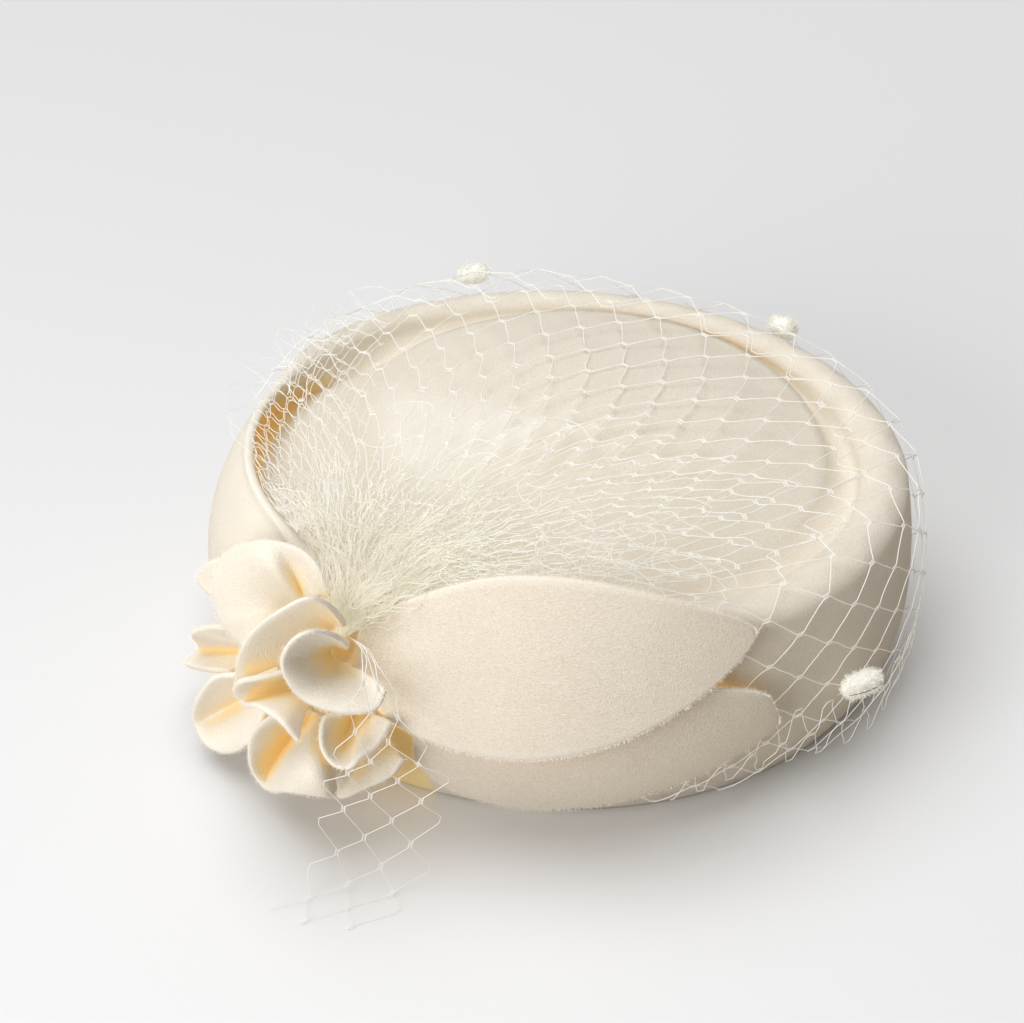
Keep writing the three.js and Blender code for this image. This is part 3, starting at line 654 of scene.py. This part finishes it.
# How deep the felt lies in its folds, for the painted gold shade and glow.
FOLD_REACH = 0.028
FOLD_RAYS = 26
FOLD_START = 0.0008  # how far off the felt a ray starts
FOLD_FADE = 0.6  # how much less felt at the end of a ray counts
WEDGE_AT, WEDGE_HALF, WEDGE_TOP = 248, 5, 48  # the wall that shows between the flower and the leaves, which gets painted gold shade
GAP_IN, GAP_FLOOR, GAP_TOP = 9, 42, 61  # the gap behind the open edge, which gets painted gold shade


def painted_gap_shade(spot):
    """How much painted gold shade and glow a point of the body gets in the gap behind the open edge, and on
    the wall between flower and leaves.
    """
    angle = crest_angle(spot)
    beside = clamp(2 - abs(math.degrees(angle) % 360 - WEDGE_AT) / WEDGE_HALF)
    shade_beside_flower = beside * clamp((WEDGE_TOP - spot.z) / 10)
    section = rim_section(angle)
    away = crest_away(angle)
    out = (spot - off_crest(angle, 0, spot.z)).dot(away)
    inside = clamp((wall_out(spot.z, section) - out - 1.6) / 0.8)
    near = clamp((out + GAP_IN) / 4)
    shade_behind_edge = section["open"] * inside * near
    shade_behind_edge = shade_behind_edge * clamp((GAP_TOP - spot.z) / 8) * clamp((spot.z - GAP_FLOOR) / 3)
    return max(0.95 * shade_behind_edge, 0.9 * shade_beside_flower * (1 - inside))


def shade_folds(pieces):
    """Measures at each point of the felt how much nearby felt closes it in, for the gold shade and glow
    painted into its folds.
    """
    spots, faces = [], []
    for piece in pieces:
        start = len(spots)
        spots += [vert.co.copy() for vert in piece.data.vertices]
        faces += [[start + i for i in face.vertices] for face in piece.data.polygons]
    felt_tree = bvhtree.BVHTree.FromPolygons(spots, faces)
    rays = []
    for i in range(FOLD_RAYS):
        up = 1 - 2 * (i + 0.5) / FOLD_RAYS
        turn = i * math.pi * (3 - math.sqrt(5))
        flat = math.sqrt(1 - up * up)
        rays.append(Vector((flat * math.cos(turn), flat * math.sin(turn), up)))
    for piece in pieces:
        painted_fold_shades = []
        for vert in piece.data.vertices:
            shut, total = 0.0, 0.0
            for ray in rays:
                facing = ray.dot(vert.normal)
                if facing < 0.1:
                    continue
                total += facing
                away = felt_tree.ray_cast(vert.co + vert.normal * FOLD_START, ray, FOLD_REACH)[3]
                if away is not None:
                    shut += facing * (1 - FOLD_FADE * away / FOLD_REACH)
            painted_fold_shades.append(shut / total)
        if piece.name == "felt_hat_body":
            for index, vert in enumerate(piece.data.vertices):
                painted_fold_shades[index] = max(painted_fold_shades[index], painted_gap_shade(taken_up(vert.co)))
        # kept as the fold attribute, which the felt finishes paint as gold shade and glow
        layer = piece.data.attributes.new("fold", "FLOAT", "POINT")
        layer.data.foreach_set("value", painted_fold_shades)


# The net veil.
GATHER_AT = math.radians(239)
GATHER_NECK = 4
GATHER_OUT, GATHER_OFF = 6, 2.4
GATHER = off_crest(GATHER_AT, GATHER_OUT, RIM_HEIGHT + GATHER_OFF)
GATHER_FOOT = off_crest(math.radians(239.6), 9.5, 57)  # where the threads are drawn together
VEIL_RISE = 6.6
VEIL_FROM, VEIL_TO = 268, 522
VEIL_DRAPE = rows_of(
    "at off hem",
    (268, 1.6, 8),
    (312, 2, 4),
    (345, 4.5, 3),
    (390, 2.6, 5),
    (430, 4, 8),
    (470, 7, 16),
    (500, 3.5, 36),
    (522, 3, 54),
)
NET_SIDE = 12  # one side of an open gap in the net
THREAD, BINDING = 0.14, 0.1  # half a thread's thickness, and half a binding's
KNOT_HALF = 1.1  # half the length over which two threads are bound together
KNOT_GAP = 0.38  # from a knot's middle to either thread
BINDINGS = (-0.75, -0.25, 0.25, 0.75)  # where a knot's bindings lie along its half length
BINDING_REACH = KNOT_GAP + 0.3
CLOSEST_ROWS = 0.55  # the least gap between two rows of knots, as a share of a gap's side
LEAST_PITCH = 0.05
VEIL_FOOT = 0.35  # no thread's middle lies lower
RIM_STEP = 40  # the step of a veil line that lies on the rim's crest
ROUND_STEPS, WALL_NET_STEPS = 8, 24


def veil_line(turn, lift=0.0):
    """The way from the gather over the crown and rim and down the wall, at one angle of the rim."""
    angle = math.radians(turn)
    section = rim_section(angle)
    drape = table_at(VEIL_DRAPE, turn)
    gather = off_crest(GATHER_AT, GATHER_OUT, 0)
    rim = off_crest(angle, -section["inset"], 0)
    reach = (rim - gather).length
    line = []
    for i in range(RIM_STEP + 1):
        share = mix(GATHER_NECK / reach, 1, i / RIM_STEP)
        place = gather.lerp(rim, share)
        middle = min(math.hypot(place.x / CREST_LONG, place.y / CREST_WIDE), 1)
        off = mix(GATHER_OFF, drape["off"], share)
        place.z = RIM_HEIGHT + off + VEIL_RISE * (1 - middle**1.4) + lift * (1 - 0.5 * share)
        line.append(place)
    centre = RIM_HEIGHT - section["roll"]
    round_rim = section["roll"] + drape["off"] + lift * 0.5
    for i in range(1, ROUND_STEPS + 1):
        swing = math.pi / 2 * i / ROUND_STEPS
        line.append(off_crest(angle, round_rim * math.sin(swing) - section["inset"],
                              centre + round_rim * math.cos(swing)))
    for i in range(1, WALL_NET_STEPS + 1):
        height = mix(centre, drape["hem"], i / WALL_NET_STEPS)
        line.append(off_crest(angle, wall_out(height, section) + drape["off"] + lift * 0.5, height))
    return np.array(line)


def runs_along(line):
    """The length run along a line at each of its points."""
    steps = np.linalg.norm(np.diff(line, axis=0), axis=1)
    return np.concatenate([[0], np.cumsum(steps)])


def to_rim(line):
    """The length of a veil line from the gather to the rim's crest."""
    return np.linalg.norm(np.diff(line[:RIM_STEP + 1], axis=0), axis=1).sum()


def rest_of(line, start):
    """The rest of a line from a length along it."""
    runs = runs_along(line)
    first = [np.interp(start, runs, line[:, axis]) for axis in range(3)]
    return np.vstack([first, line[runs > start]])


class NetSurface:
    """Lines fanned out side by side, read by column and by the length run along them."""

    def __init__(self, lines, lengths=None, first=0.0):
        self.lines = lines
        self.first = first
        self.runs = [runs_along(line) for line in lines]
        self.ends = [run[-1] for run in self.runs]
        if lengths is not None:
            self.ends = [min(a, b) for a, b in zip(self.ends, lengths)]

    def on_line(self, column, run):
        line, runs = self.lines[column], self.runs[column]
        return Vector([np.interp(run, runs, line[:, axis]) for axis in range(3)])

    def point(self, column, run):
        last = len(self.lines) - 1
        column = clamp(column, 0, last)
        before = min(int(column), last - 1)
        return self.on_line(before, run).lerp(self.on_line(before + 1, run), column - before)

    def pitch(self, column, run):
        last = len(self.lines) - 1
        before = min(int(column), last - 1)
        return (self.on_line(before + 1, run) - self.on_line(before, run)).length


def stray(point, size, scale, seed):
    """A soft wander of a point, the same at each run."""
    return noise.noise_vector(point * scale + Vector((seed, 2 * seed, 0))) * size


def tangle(point, seed, size):
    """A wander that is wide at the gather and dies out over the crown."""
    away = (point - GATHER).length
    return stray(point, size * math.exp(-away / 38), 0.06, seed)


def loosen(points, waver, seed):
    """Adds points between the knots of a thread and lets it waver a little."""
    loose = []
    for here, there in zip(points, points[1:]):
        loose.append(here)
        if (there - here).length > 4:
            for share in (0.25, 0.5, 0.75):
                middle = here.lerp(there, share)
                curl = waver + 3.2 * math.exp(-(middle - GATHER).length / 42)
                loose.append(middle + stray(middle, curl, 0.11, seed))
    loose.append(points[-1])
    return loose


def row_step(side, pitch):
    """How far apart two rows of knots lie where the net's lines lie a pitch apart."""
    return math.sqrt(max(side**2 - pitch**2, (CLOSEST_ROWS * side) ** 2))


def net_threads(surface, seed, wander=1.6, waver=0.3, side=NET_SIDE, tangled=8):
    """Threads that zigzag round the fan, and the short bindings where two of them meet."""
    columns = len(surface.lines)
    levels = []
    for column in range(columns):
        run, runs = surface.first, []
        while run <= surface.ends[column] + side:
            runs.append(run)
            pitch = surface.pitch(min(column, columns - 2), run)
            run += row_step(side, pitch)
        levels.append(runs)
    count = max(len(runs) for runs in levels)
    threads, bindings = [], []
    for level in range(count):
        part = []
        for column in range(columns):
            odd = (column + level) % 2
            step = level + odd
            inside = step < len(levels[column]) and levels[column][step] <= surface.ends[column] + 0.5
            if not inside:
                if len(part) > 3:
                    threads.append(part)
                part = []
                continue
            run = levels[column][step]
            pitch = max(surface.pitch(min(column, columns - 2), run), LEAST_PITCH)
            half = min(KNOT_HALF / pitch, 0.22)
            shift = KNOT_GAP * (-1 if odd else 1) * clamp(pitch / 4)
            for at in (column - half, column + half):
                point = surface.point(at, run + shift)
                wandered = point + stray(point, wander, 0.02, seed)
                part.append(wandered + tangle(point, seed + 1.7 * level, tangled))
            if odd and pitch > 3.5:
                for share in BINDINGS:
                    ends = []
                    for over in (-1, 1):
                        spot = surface.point(column + half * share, run + over * BINDING_REACH)
                        ends.append(spot + stray(spot, wander, 0.02, seed))
                    bindings.append(ends)
        if len(part) > 3:
            threads.append(part)
    return [loosen(thread, waver, seed + 0.9 * i) for i, thread in enumerate(threads)], bindings


def thread_width(point):
    """A thread's share of its full width: finer where it is drawn tight and at the veil's front end."""
    tight = clamp(0.45 + (point - GATHER).length / 60, 0.5, 1)
    return tight * clamp(0.42 + point.z / 45, 0.42, 1) if point.y < -100 else tight


def thread_piece(name, threads, material, slot, *nodes, half=THREAD, bindings=(), fine=False):
    """Threads as thin round tubes joined in one mesh."""
    made = []
    for part, thick in ((threads, half), (bindings, BINDING)):
        curve = bpy.data.curves.new(name, "CURVE")
        curve.dimensions = "3D"
        curve.bevel_depth = thick * MM
        curve.bevel_resolution = 0 if fine else 1
        curve.use_fill_caps = True
        for points in part:
            spline = curve.splines.new("POLY")
            spline.points.add(len(points) - 1)
            for spot, point in zip(spline.points, points):
                spot.co = (*set_down(Vector((point.x, point.y, max(point.z, VEIL_FOOT)))), 1)
                spot.radius = thread_width(point)
        holder = add_object(name, curve)
        tubes = holder.evaluated_get(bpy.context.evaluated_depsgraph_get())
        made.append(bpy.data.meshes.new_from_object(tubes))
        bpy.data.objects.remove(holder)
        bpy.data.curves.remove(curve)
    bm = bmesh.new()
    for mesh in made:
        bm.from_mesh(mesh)
        bpy.data.meshes.remove(mesh)
    return finish_piece(name, bm, material, slot, *nodes)


def spread_turns(first, last, columns):
    """Turns of the rim spread evenly from a first to a last one."""
    return [mix(first, last, i / columns) for i in range(columns + 1)]


FAN_STOP, HANG_START = 4, 16  # how far inside the crest the fan ends and the hanging net starts
FAN_FIRST = 20  # how far from the gather the fan's first row of knots lies


def build_veil():
    """The veil's main layer: a fan over the crown, and rows of even gaps down the wall."""
    lines = [veil_line(turn) for turn in spread_turns(VEIL_FROM, VEIL_TO, 44)]
    over = NetSurface(lines, [to_rim(line) - FAN_STOP for line in lines], first=FAN_FIRST)
    down = NetSurface([rest_of(line, to_rim(line) - HANG_START) for line in lines])
    threads, bindings = net_threads(over, 1.0)
    hanging, bound = net_threads(down, 1.0, wander=0.9)
    thread_piece("veil_net_threads", threads + hanging, VEIL_THREAD, "veil_thread", "veil_net",
                 bindings=bindings + bound)


FOLD_EDGE = rows_of(
    "at reach",
    (268, 40),
    (300, 75),
    (330, 110),
    (345, 132),
    (360, 118),
    (395, 106),
    (425, 88),
    (460, 70),
    (490, 58),
    (522, 52),
)


def build_veil_fold():
    """The veil's inner end, laid back over it in a second layer that ends in loose loops."""
    turns = spread_turns(VEIL_FROM + 4, VEIL_TO - 6, 40)
    lines = [veil_line(turn, 2.2 + 0.9 * math.sin(turn * 0.9)) for turn in turns]
    surface = NetSurface(lines, [table_at(FOLD_EDGE, turn)["reach"] for turn in turns], first=24)
    threads, bindings = net_threads(surface, 7.0, wander=3.4, waver=0.8)
    thread_piece("veil_fold_threads", threads, VEIL_THREAD, "veil_thread", bindings=bindings)


HAZE_LAYERS = rows_of("first last lift seed", (488, 570, 1.5, 13.0), (498, 579, 3.2, 17.0))
HAZE_SIDE = 6.5  # one side of a gap in the closer net


def build_veil_haze():
    """Two short layers of closer net on the left, over the gap behind the open edge."""
    threads = []
    for layer in HAZE_LAYERS:
        turns = spread_turns(layer["first"], layer["last"], 20)
        lines = [veil_line(turn, layer["lift"] + 0.8 * math.sin(turn * 0.6)) for turn in turns]
        surface = NetSurface(lines, [to_rim(line) + 1 for line in lines], first=FAN_FIRST)
        threads += net_threads(surface, layer["seed"], wander=2.5, waver=0.6, side=HAZE_SIDE, tangled=2.5)[0]
    thread_piece("veil_haze_threads", threads, VEIL_THREAD, "veil_thread", half=0.11, fine=True)


def eased_line(stations, count):
    """A smooth line through stations."""
    ends = [stations[0]] + list(stations) + [stations[-1]]
    line = []
    for i in range(count + 1):
        place = (len(stations) - 1) * i / count
        index = min(int(place), len(stations) - 2)
        t = place - index
        a, b, c, d = (Vector(p) for p in ends[index:index + 4])
        point = 0.5 * (2 * b + (c - a) * t + (2 * a - 5 * b + 4 * c - d) * t * t
                       + (3 * b - a - 3 * c + d) * t**3)
        point.z = max(point.z, 0.8)
        line.append(point)
    return np.array(line)


def crimped(points, chance):
    """Gives a smooth thread the small regular crimp of unravelled net."""
    turn, size = chance.uniform(0, math.tau), chance.uniform(0.4, 1.15)
    across = Vector((math.cos(turn), math.sin(turn), chance.uniform(-0.6, 0.6)))
    phase, wave = chance.uniform(0, math.tau), chance.uniform(4.5, 8)
    swings = [size * math.sin(phase + math.tau * i / wave) for i in range(len(points))]
    return [Vector(point) + across * swing for point, swing in zip(points, swings)]


BRUSH_STRANDS = 240
BRUSH_FROM, BRUSH_TO = 276, 562  # turns of the rim, from the leaf's side round to the open edge's
BRUSH_RIGHT, BRUSH_LEFT = 17, -5  # how far along the rim from the gather its two sides cross it
BRUSH_REACH = 34  # how far its longest strands lie out on the crown


def build_gather():
    """Crimped threads that spread from the gather's foot on the wall, over the rim and out on the crown."""
    chance = random.Random(5)
    away = crest_away(GATHER_AT)
    strands = []
    for strand in range(BRUSH_STRANDS):
        side = chance.random()
        line = veil_line(mix(BRUSH_FROM, BRUSH_TO, side), chance.uniform(0, 4.5))
        surface = NetSurface([line, line])
        across = mix(BRUSH_RIGHT, BRUSH_LEFT, side)
        foot = GATHER_FOOT + FLOWER_ALONG * chance.uniform(-0.5, 2.5) + away * chance.uniform(-1.5, 0.5)
        top = GATHER + FLOWER_ALONG * across + away * -2 + Vector((0, 0, chance.uniform(0, 3.5)))
        loose = scatter(chance, 1.3)
        stations = [foot, foot.lerp(top, 0.5) + away * chance.uniform(0, 1.5) + loose * 0.5, top + loose * 2]
        run = 9.0 + abs(across)
        reach = run + 3 + BRUSH_REACH * chance.random() ** 1.7
        curl = chance.uniform(0.6, 2.2)
        while run < reach:
            point = surface.on_line(0, run)
            stations.append(point + stray(point, curl * (1 + run / 10), 0.085, 20 + 1.3 * strand))
            run += 4
        length = sum((b - a).length for a, b in zip(stations, stations[1:]))
        strands.append(crimped(eased_line(stations, round(length)), chance))
    thread_piece("veil_gather_threads", strands, GATHER_THREAD, "veil_thread", half=0.13, fine=True)


LOOPS_BESIDE, LOOPS_OVER = 60, 16  # close beside the leaf, and over the crown
LOOP_LONG = 1.5  # a loop's length as a share of its width
LEAF_TIP = 308  # the turn of the rim past which no leaf covers it


def on_veil(turn, run, lift):
    """The point of the veil at a turn of the rim and a length from the gather."""
    line = veil_line(turn, lift)
    return NetSurface([line, line]).on_line(0, run)


def build_loops():
    """Slack loops of net thread that lie over the fan, close beside the leaf and thinly over the crown."""
    chance = random.Random(21)
    loops = []
    for loop in range(LOOPS_BESIDE + LOOPS_OVER):
        beside = loop < LOOPS_BESIDE
        turn = chance.uniform(282, 350) if beside else chance.uniform(350, 500)
        run = chance.uniform(22, 95) if beside else chance.uniform(35, 85)
        lift = chance.uniform(0.5, 3.5)
        middle = on_veil(turn, run, lift)
        forth = on_veil(turn, run + 1, lift) - middle
        across = (on_veil(turn + 1, run, lift) - middle).normalized()
        size = chance.uniform(3.5, 8) * (1 if beside else 1.8)
        start = chance.uniform(0, math.tau)
        sweep = chance.uniform(2, 5) if beside else chance.uniform(1.2, 2.6)
        lean = chance.uniform(-0.6, 0.6)
        if turn < LEAF_TIP and run + LOOP_LONG * size > to_rim(veil_line(turn, lift)) - 2:
            continue  # it would come out through the leaf
        stations = []
        for i in range(10):
            swing = start + sweep * i / 9
            spot = middle + forth * (size * LOOP_LONG * math.cos(swing))
            spot += (across + forth * lean) * (size * math.sin(swing))
            stations.append(spot + stray(spot, 2.5, 0.09, 500 + 1.7 * loop))
        loops.append([Vector(point) for point in eased_line(stations, 36)])
    thread_piece("veil_loop_threads", loops, VEIL_THREAD, "veil_thread", half=0.12, fine=True)


STRAYS = 16


def build_strays():
    """Loose loops of thread that stand off past the rim on the left and at the back."""
    chance = random.Random(9)
    strands = []
    for _ in range(STRAYS):
        first = chance.uniform(462, 540)
        last = first + chance.uniform(8, 26)
        past, lift = chance.uniform(2, 13), chance.uniform(1, 6)
        way = (0, -5), (0.1, 0.5 * past), (0.3, 0.9 * past), (0.5, past), (0.75, 0.7 * past), (1, -4)
        stations = []
        for share, out in way:
            angle = math.radians(mix(first, last, share))
            height = RIM_HEIGHT + 2.5 + lift * math.sin(math.pi * share)
            spot = off_crest(angle, out - rim_section(angle)["inset"], height)
            stations.append(spot + scatter(chance, 1.2))
        strands.append([Vector(point) for point in eased_line(stations, 48)])
    thread_piece("veil_stray_threads", strands, VEIL_THREAD, "veil_thread", half=0.08, fine=True)


HEM_FROM, HEM_TO = 292, 352
HEM_STEPS = 14  # the last steps of a veil line, which are bunched


def build_hem_bunch():
    """The veil's hem on the right, pushed together in loose loops at the base edge."""
    turns = spread_turns(HEM_FROM, HEM_TO, 22)
    lines = [veil_line(turn, 3.5 + 2 * math.sin(turn * 1.3))[-HEM_STEPS:] for turn in turns]
    threads, _ = net_threads(NetSurface(lines), 31.0, wander=4.2, waver=1.2)
    thread_piece("veil_hem_threads", threads, VEIL_THREAD, "veil_thread", half=0.12)


# The two edges of the veil's front end, from the gather over the flower and down to the floor.
STRIP = (
    ((-49.5, -75.5, 55.5), (-48, -76.5, 55.5)),
    ((-42, -97, 70.5), (-39.5, -98, 71)),
    ((-38.5, -114, 78.5), (-34, -109, 74.5)),
    ((-40.5, -117.5, 71), (-30.5, -108.5, 65.5)),
    ((-43.5, -115.5, 59), (-26.5, -109, 57.5)),
    ((-47, -116, 47.5), (-22.5, -108, 47)),
    ((-51, -113, 32.5), (-18, -105.5, 35)),
    ((-54, -115, 13), (-21, -107, 14)),
    ((-59, -119, 2), (-25, -115, 2)),
    ((-69, -131, 1), (-36, -131, 1)),
)


STRIP_SIDE = 10  # one side of a gap in the veil's front end
STRIP_COLUMNS, STRIP_STEPS = 5, 70
STRIP_FOOT = 0.4  # how far its threads stay off the floor


def build_veil_front():
    """The end of the veil that hangs in front of the flower; its threads run down it."""
    left = eased_line([row[0] for row in STRIP], STRIP_STEPS)
    right = eased_line([row[1] for row in STRIP], STRIP_STEPS)
    lines = [left + (right - left) * i / STRIP_COLUMNS for i in range(STRIP_COLUMNS + 1)]
    surface = NetSurface(lines)

    def wandered(column, run):
        point = surface.point(column, max(run, 0))
        point += stray(point, 1.2, 0.03, 4.0)
        point.z = max(point.z, STRIP_FOOT)
        return point

    runs, run = [], 0.0
    while run < min(surface.ends):
        runs.append(run)
        run += row_step(STRIP_SIDE, surface.pitch(2, run))
    threads, bindings = [], []
    for column in range(STRIP_COLUMNS):
        part = []
        for step, run in enumerate(runs):
            odd = (column + step) % 2
            pitch = max(surface.pitch(column, run), LEAST_PITCH)
            shift = min(KNOT_GAP / pitch, 0.3) * (-1 if odd else 1)
            part += [wandered(column + odd + shift, run + over) for over in (-KNOT_HALF, KNOT_HALF)]
            if odd and column < STRIP_COLUMNS - 1 and pitch > 2.5:
                for share in BINDINGS:
                    bindings.append([
                        wandered(column + 1 + side * BINDING_REACH / pitch, run + share * KNOT_HALF)
                        for side in (-1, 1)
                    ])
        threads.append(part)
    thread_piece("veil_front_threads", threads, VEIL_THREAD, "veil_thread", "veil_front",
                 half=0.12, bindings=bindings)


CUT_FROM = 0.9  # the least edge value that counts as a cut


def build_edge_fibres(name, pieces, material, slot, spacing):
    """Short stray fibres along the cut edges of felt pieces."""
    chance = random.Random(name)
    fibres = []
    for piece in pieces:
        edge = piece.data.attributes["edge"].data
        for line in piece.data.edges:
            first, last = (piece.data.vertices[i] for i in line.vertices)
            if min(edge[first.index].value, edge[last.index].value) < CUT_FROM:
                continue
            for _ in range(max(1, round((last.co - first.co).length / MM / spacing))):
                share = chance.random()
                root = taken_up(first.co.lerp(last.co, share))
                facing = first.normal.lerp(last.normal, share)
                lean = facing + scatter(chance, 0.7)
                length = chance.uniform(0.05, 0.45)
                fibres.append([root - facing * 0.8, root - facing * 0.3 + lean * length])
    thread_piece(name, fibres, material, slot, half=0.035, fine=True)


# Tufted dots on the veil, each in the middle of its own solid.
TUFT_FIBRES = 1000
TUFT_SQUARE = 0.72  # the lower, the boxier the tuft


def build_dot(node, turn, tilt, wide, high, deep, wire=False):
    """A plush tuft as big as its solid, laid along the veil at a turn of the rim, with fibres all over."""
    chance = random.Random(node)
    least, most = (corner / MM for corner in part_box(node))
    middle = (least + most) / 2 - HAT_MIDDLE / MM
    away = crest_away(math.radians(turn))
    lean = math.radians(tilt)
    out = away * math.cos(lean) + Vector((0, 0, math.sin(lean)))
    along = Vector((0, 0, 1)).cross(away)
    up = out.cross(along)
    bm = bmesh.new()
    bmesh.ops.create_icosphere(bm, subdivisions=4, radius=1)
    roots = []
    for vert in bm.verts:
        ball = vert.co.normalized()
        swell = 0.92 + 0.12 * noise.noise(ball * 2.3 + middle) + 0.06 * noise.noise(ball * 7)
        square = Vector([math.copysign(abs(part) ** TUFT_SQUARE, part) for part in ball])
        reach = along * (square.x * wide) + up * (square.y * high) + out * (square.z * deep)
        roots.append((middle + reach * swell, reach.normalized()))
        vert.co = set_down(roots[-1][0])
    finish_piece(node + "_core", bm, VEIL_TUFT, "veil_tuft", node)
    fibres = []
    for _ in range(TUFT_FIBRES):
        root, facing = chance.choice(roots)
        lean = facing + scatter(chance, 0.4)
        length = deep * chance.uniform(0.08, 0.26)
        bend = scatter(chance, 0.25)
        fibres.append([
            root + lean * (length * step) + bend * (length * step * step) for step in (-0.1, 0.5, 1)
        ])
    thread_piece(node + "_fibres", fibres, VEIL_TUFT, "veil_tuft", half=0.07, fine=True)
    if wire:
        line = [middle + along * (wide * step) + out * (deep * (0.98 - 0.4 * step * step)) - up * 0.4
                for step in (-0.8, -0.4, 0, 0.4, 0.8, 1.1)]
        thread_piece(node + "_wire", [line], TUFT_WIRE, "veil_tuft", half=0.13)


felt_pieces = [build_body()]
felt_pieces += [build_leaf(leaf_name) for leaf_name in LEAVES]
felt_pieces += [build_petal(petal_name) for petal_name in PETALS]
shade_folds(felt_pieces)
build_edge_fibres("felt_leaf_fibres", felt_pieces[1:3], FELT_FIBRE, "felt_leaf", spacing=0.16)
build_edge_fibres("felt_petal_fibres", felt_pieces[3:], FELT_FIBRE, "felt_petal", spacing=0.26)
build_veil()
build_veil_fold()
build_veil_haze()
build_gather()
build_loops()
build_strays()
build_hem_bunch()
build_veil_front()
build_dot("veil_dot_back", turn=482, tilt=40, wide=5, high=3, deep=3)
build_dot("veil_dot_rim", turn=414, tilt=40, wide=4.2, high=3.6, deep=3.2)
build_dot("veil_dot_wall", turn=308, tilt=0, wide=6.6, high=3.6, deep=3.0, wire=True)

# Floor, light and camera.

FLOOR_HALF = 4
FLOOR_SEEN, FLOOR_BOUNCE = (0.80, 0.805, 0.805), (0.42, 0.38, 0.33)  # to the camera, and to other light


def build_floor():
    """A wide pale floor that throws back less light than it shows."""
    bm = bmesh.new()
    bmesh.ops.create_grid(bm, x_segments=2, y_segments=2, size=FLOOR_HALF)
    mesh = bpy.data.meshes.new("floor")
    bm.to_mesh(mesh)
    bm.free()
    paper, tree, shader = new_material("pale_paper", {"Roughness": 0.9, "Specular IOR Level": 0.1})
    seen = tree.nodes.new("ShaderNodeLightPath").outputs["Is Camera Ray"]
    link(tree, blend(tree, FLOOR_BOUNCE, FLOOR_SEEN, seen), shader.inputs["Base Color"])
    mesh.materials.append(paper)
    floor = add_object("floor", mesh)


def add_sun(name, towards, strength, spread, colour):
    """A soft light from far off that shines in one direction."""
    sun = bpy.data.lights.new(name, "SUN")
    sun.energy = strength
    sun.angle = math.radians(spread)
    sun.color = colour
    lamp = add_object(name, sun)
    lamp.rotation_euler = Vector(towards).to_track_quat("-Z", "Y").to_euler()


def add_panel(name, place, aim, size, power, colour):
    """A square soft light at a place in the frame, turned to another place."""
    panel = bpy.data.lights.new(name, "AREA")
    panel.energy = power
    panel.size = size
    panel.color = colour
    lamp = add_object(name, panel)
    lamp.location = place
    lamp.rotation_euler = (Vector(aim) - Vector(place)).to_track_quat("-Z", "Y").to_euler()


def light_scene():
    world = bpy.data.worlds.new("studio")
    world.use_nodes = True
    set_inputs(world.node_tree.nodes["Background"], {"Color": (1, 0.94, 0.86, 1), "Strength": 0.24})
    bpy.context.scene.world = world
    add_sun("key", towards=(0.20, -0.10, -0.97), strength=2.0, spread=60, colour=(0.98, 0.99, 1.02))
    add_panel("left panel", place=(-0.60, -0.90, 0.45), aim=(-0.03, -0.05, 0.04),
              size=0.8, power=8.7, colour=(0.97, 0.98, 1.0))


CAMERA_TURN, CAMERA_RISE = math.radians(6.45), math.radians(38.24)
CAMERA_AIM = Vector((-9.81, -32.38, 67))
CAMERA_AWAY = 0.7076


def aim_camera():
    """A long lens that sees the hat from the photo's side, a little from above."""
    flat = math.cos(CAMERA_RISE)
    back = Vector((math.sin(CAMERA_TURN) * flat, -math.cos(CAMERA_TURN) * flat, math.sin(CAMERA_RISE)))
    lens = bpy.data.cameras.new("camera")
    lens.lens = 90
    lens.sensor_width = 36
    lens.sensor_fit = "HORIZONTAL"
    camera = add_object("camera", lens)
    camera.location = set_down(CAMERA_AIM) + back * CAMERA_AWAY
    camera.rotation_euler = (-back).to_track_quat("-Z", "Y").to_euler()
    bpy.context.scene.camera = camera


build_floor()
light_scene()
aim_camera()
bpy.context.scene.view_settings.view_transform = "Standard"
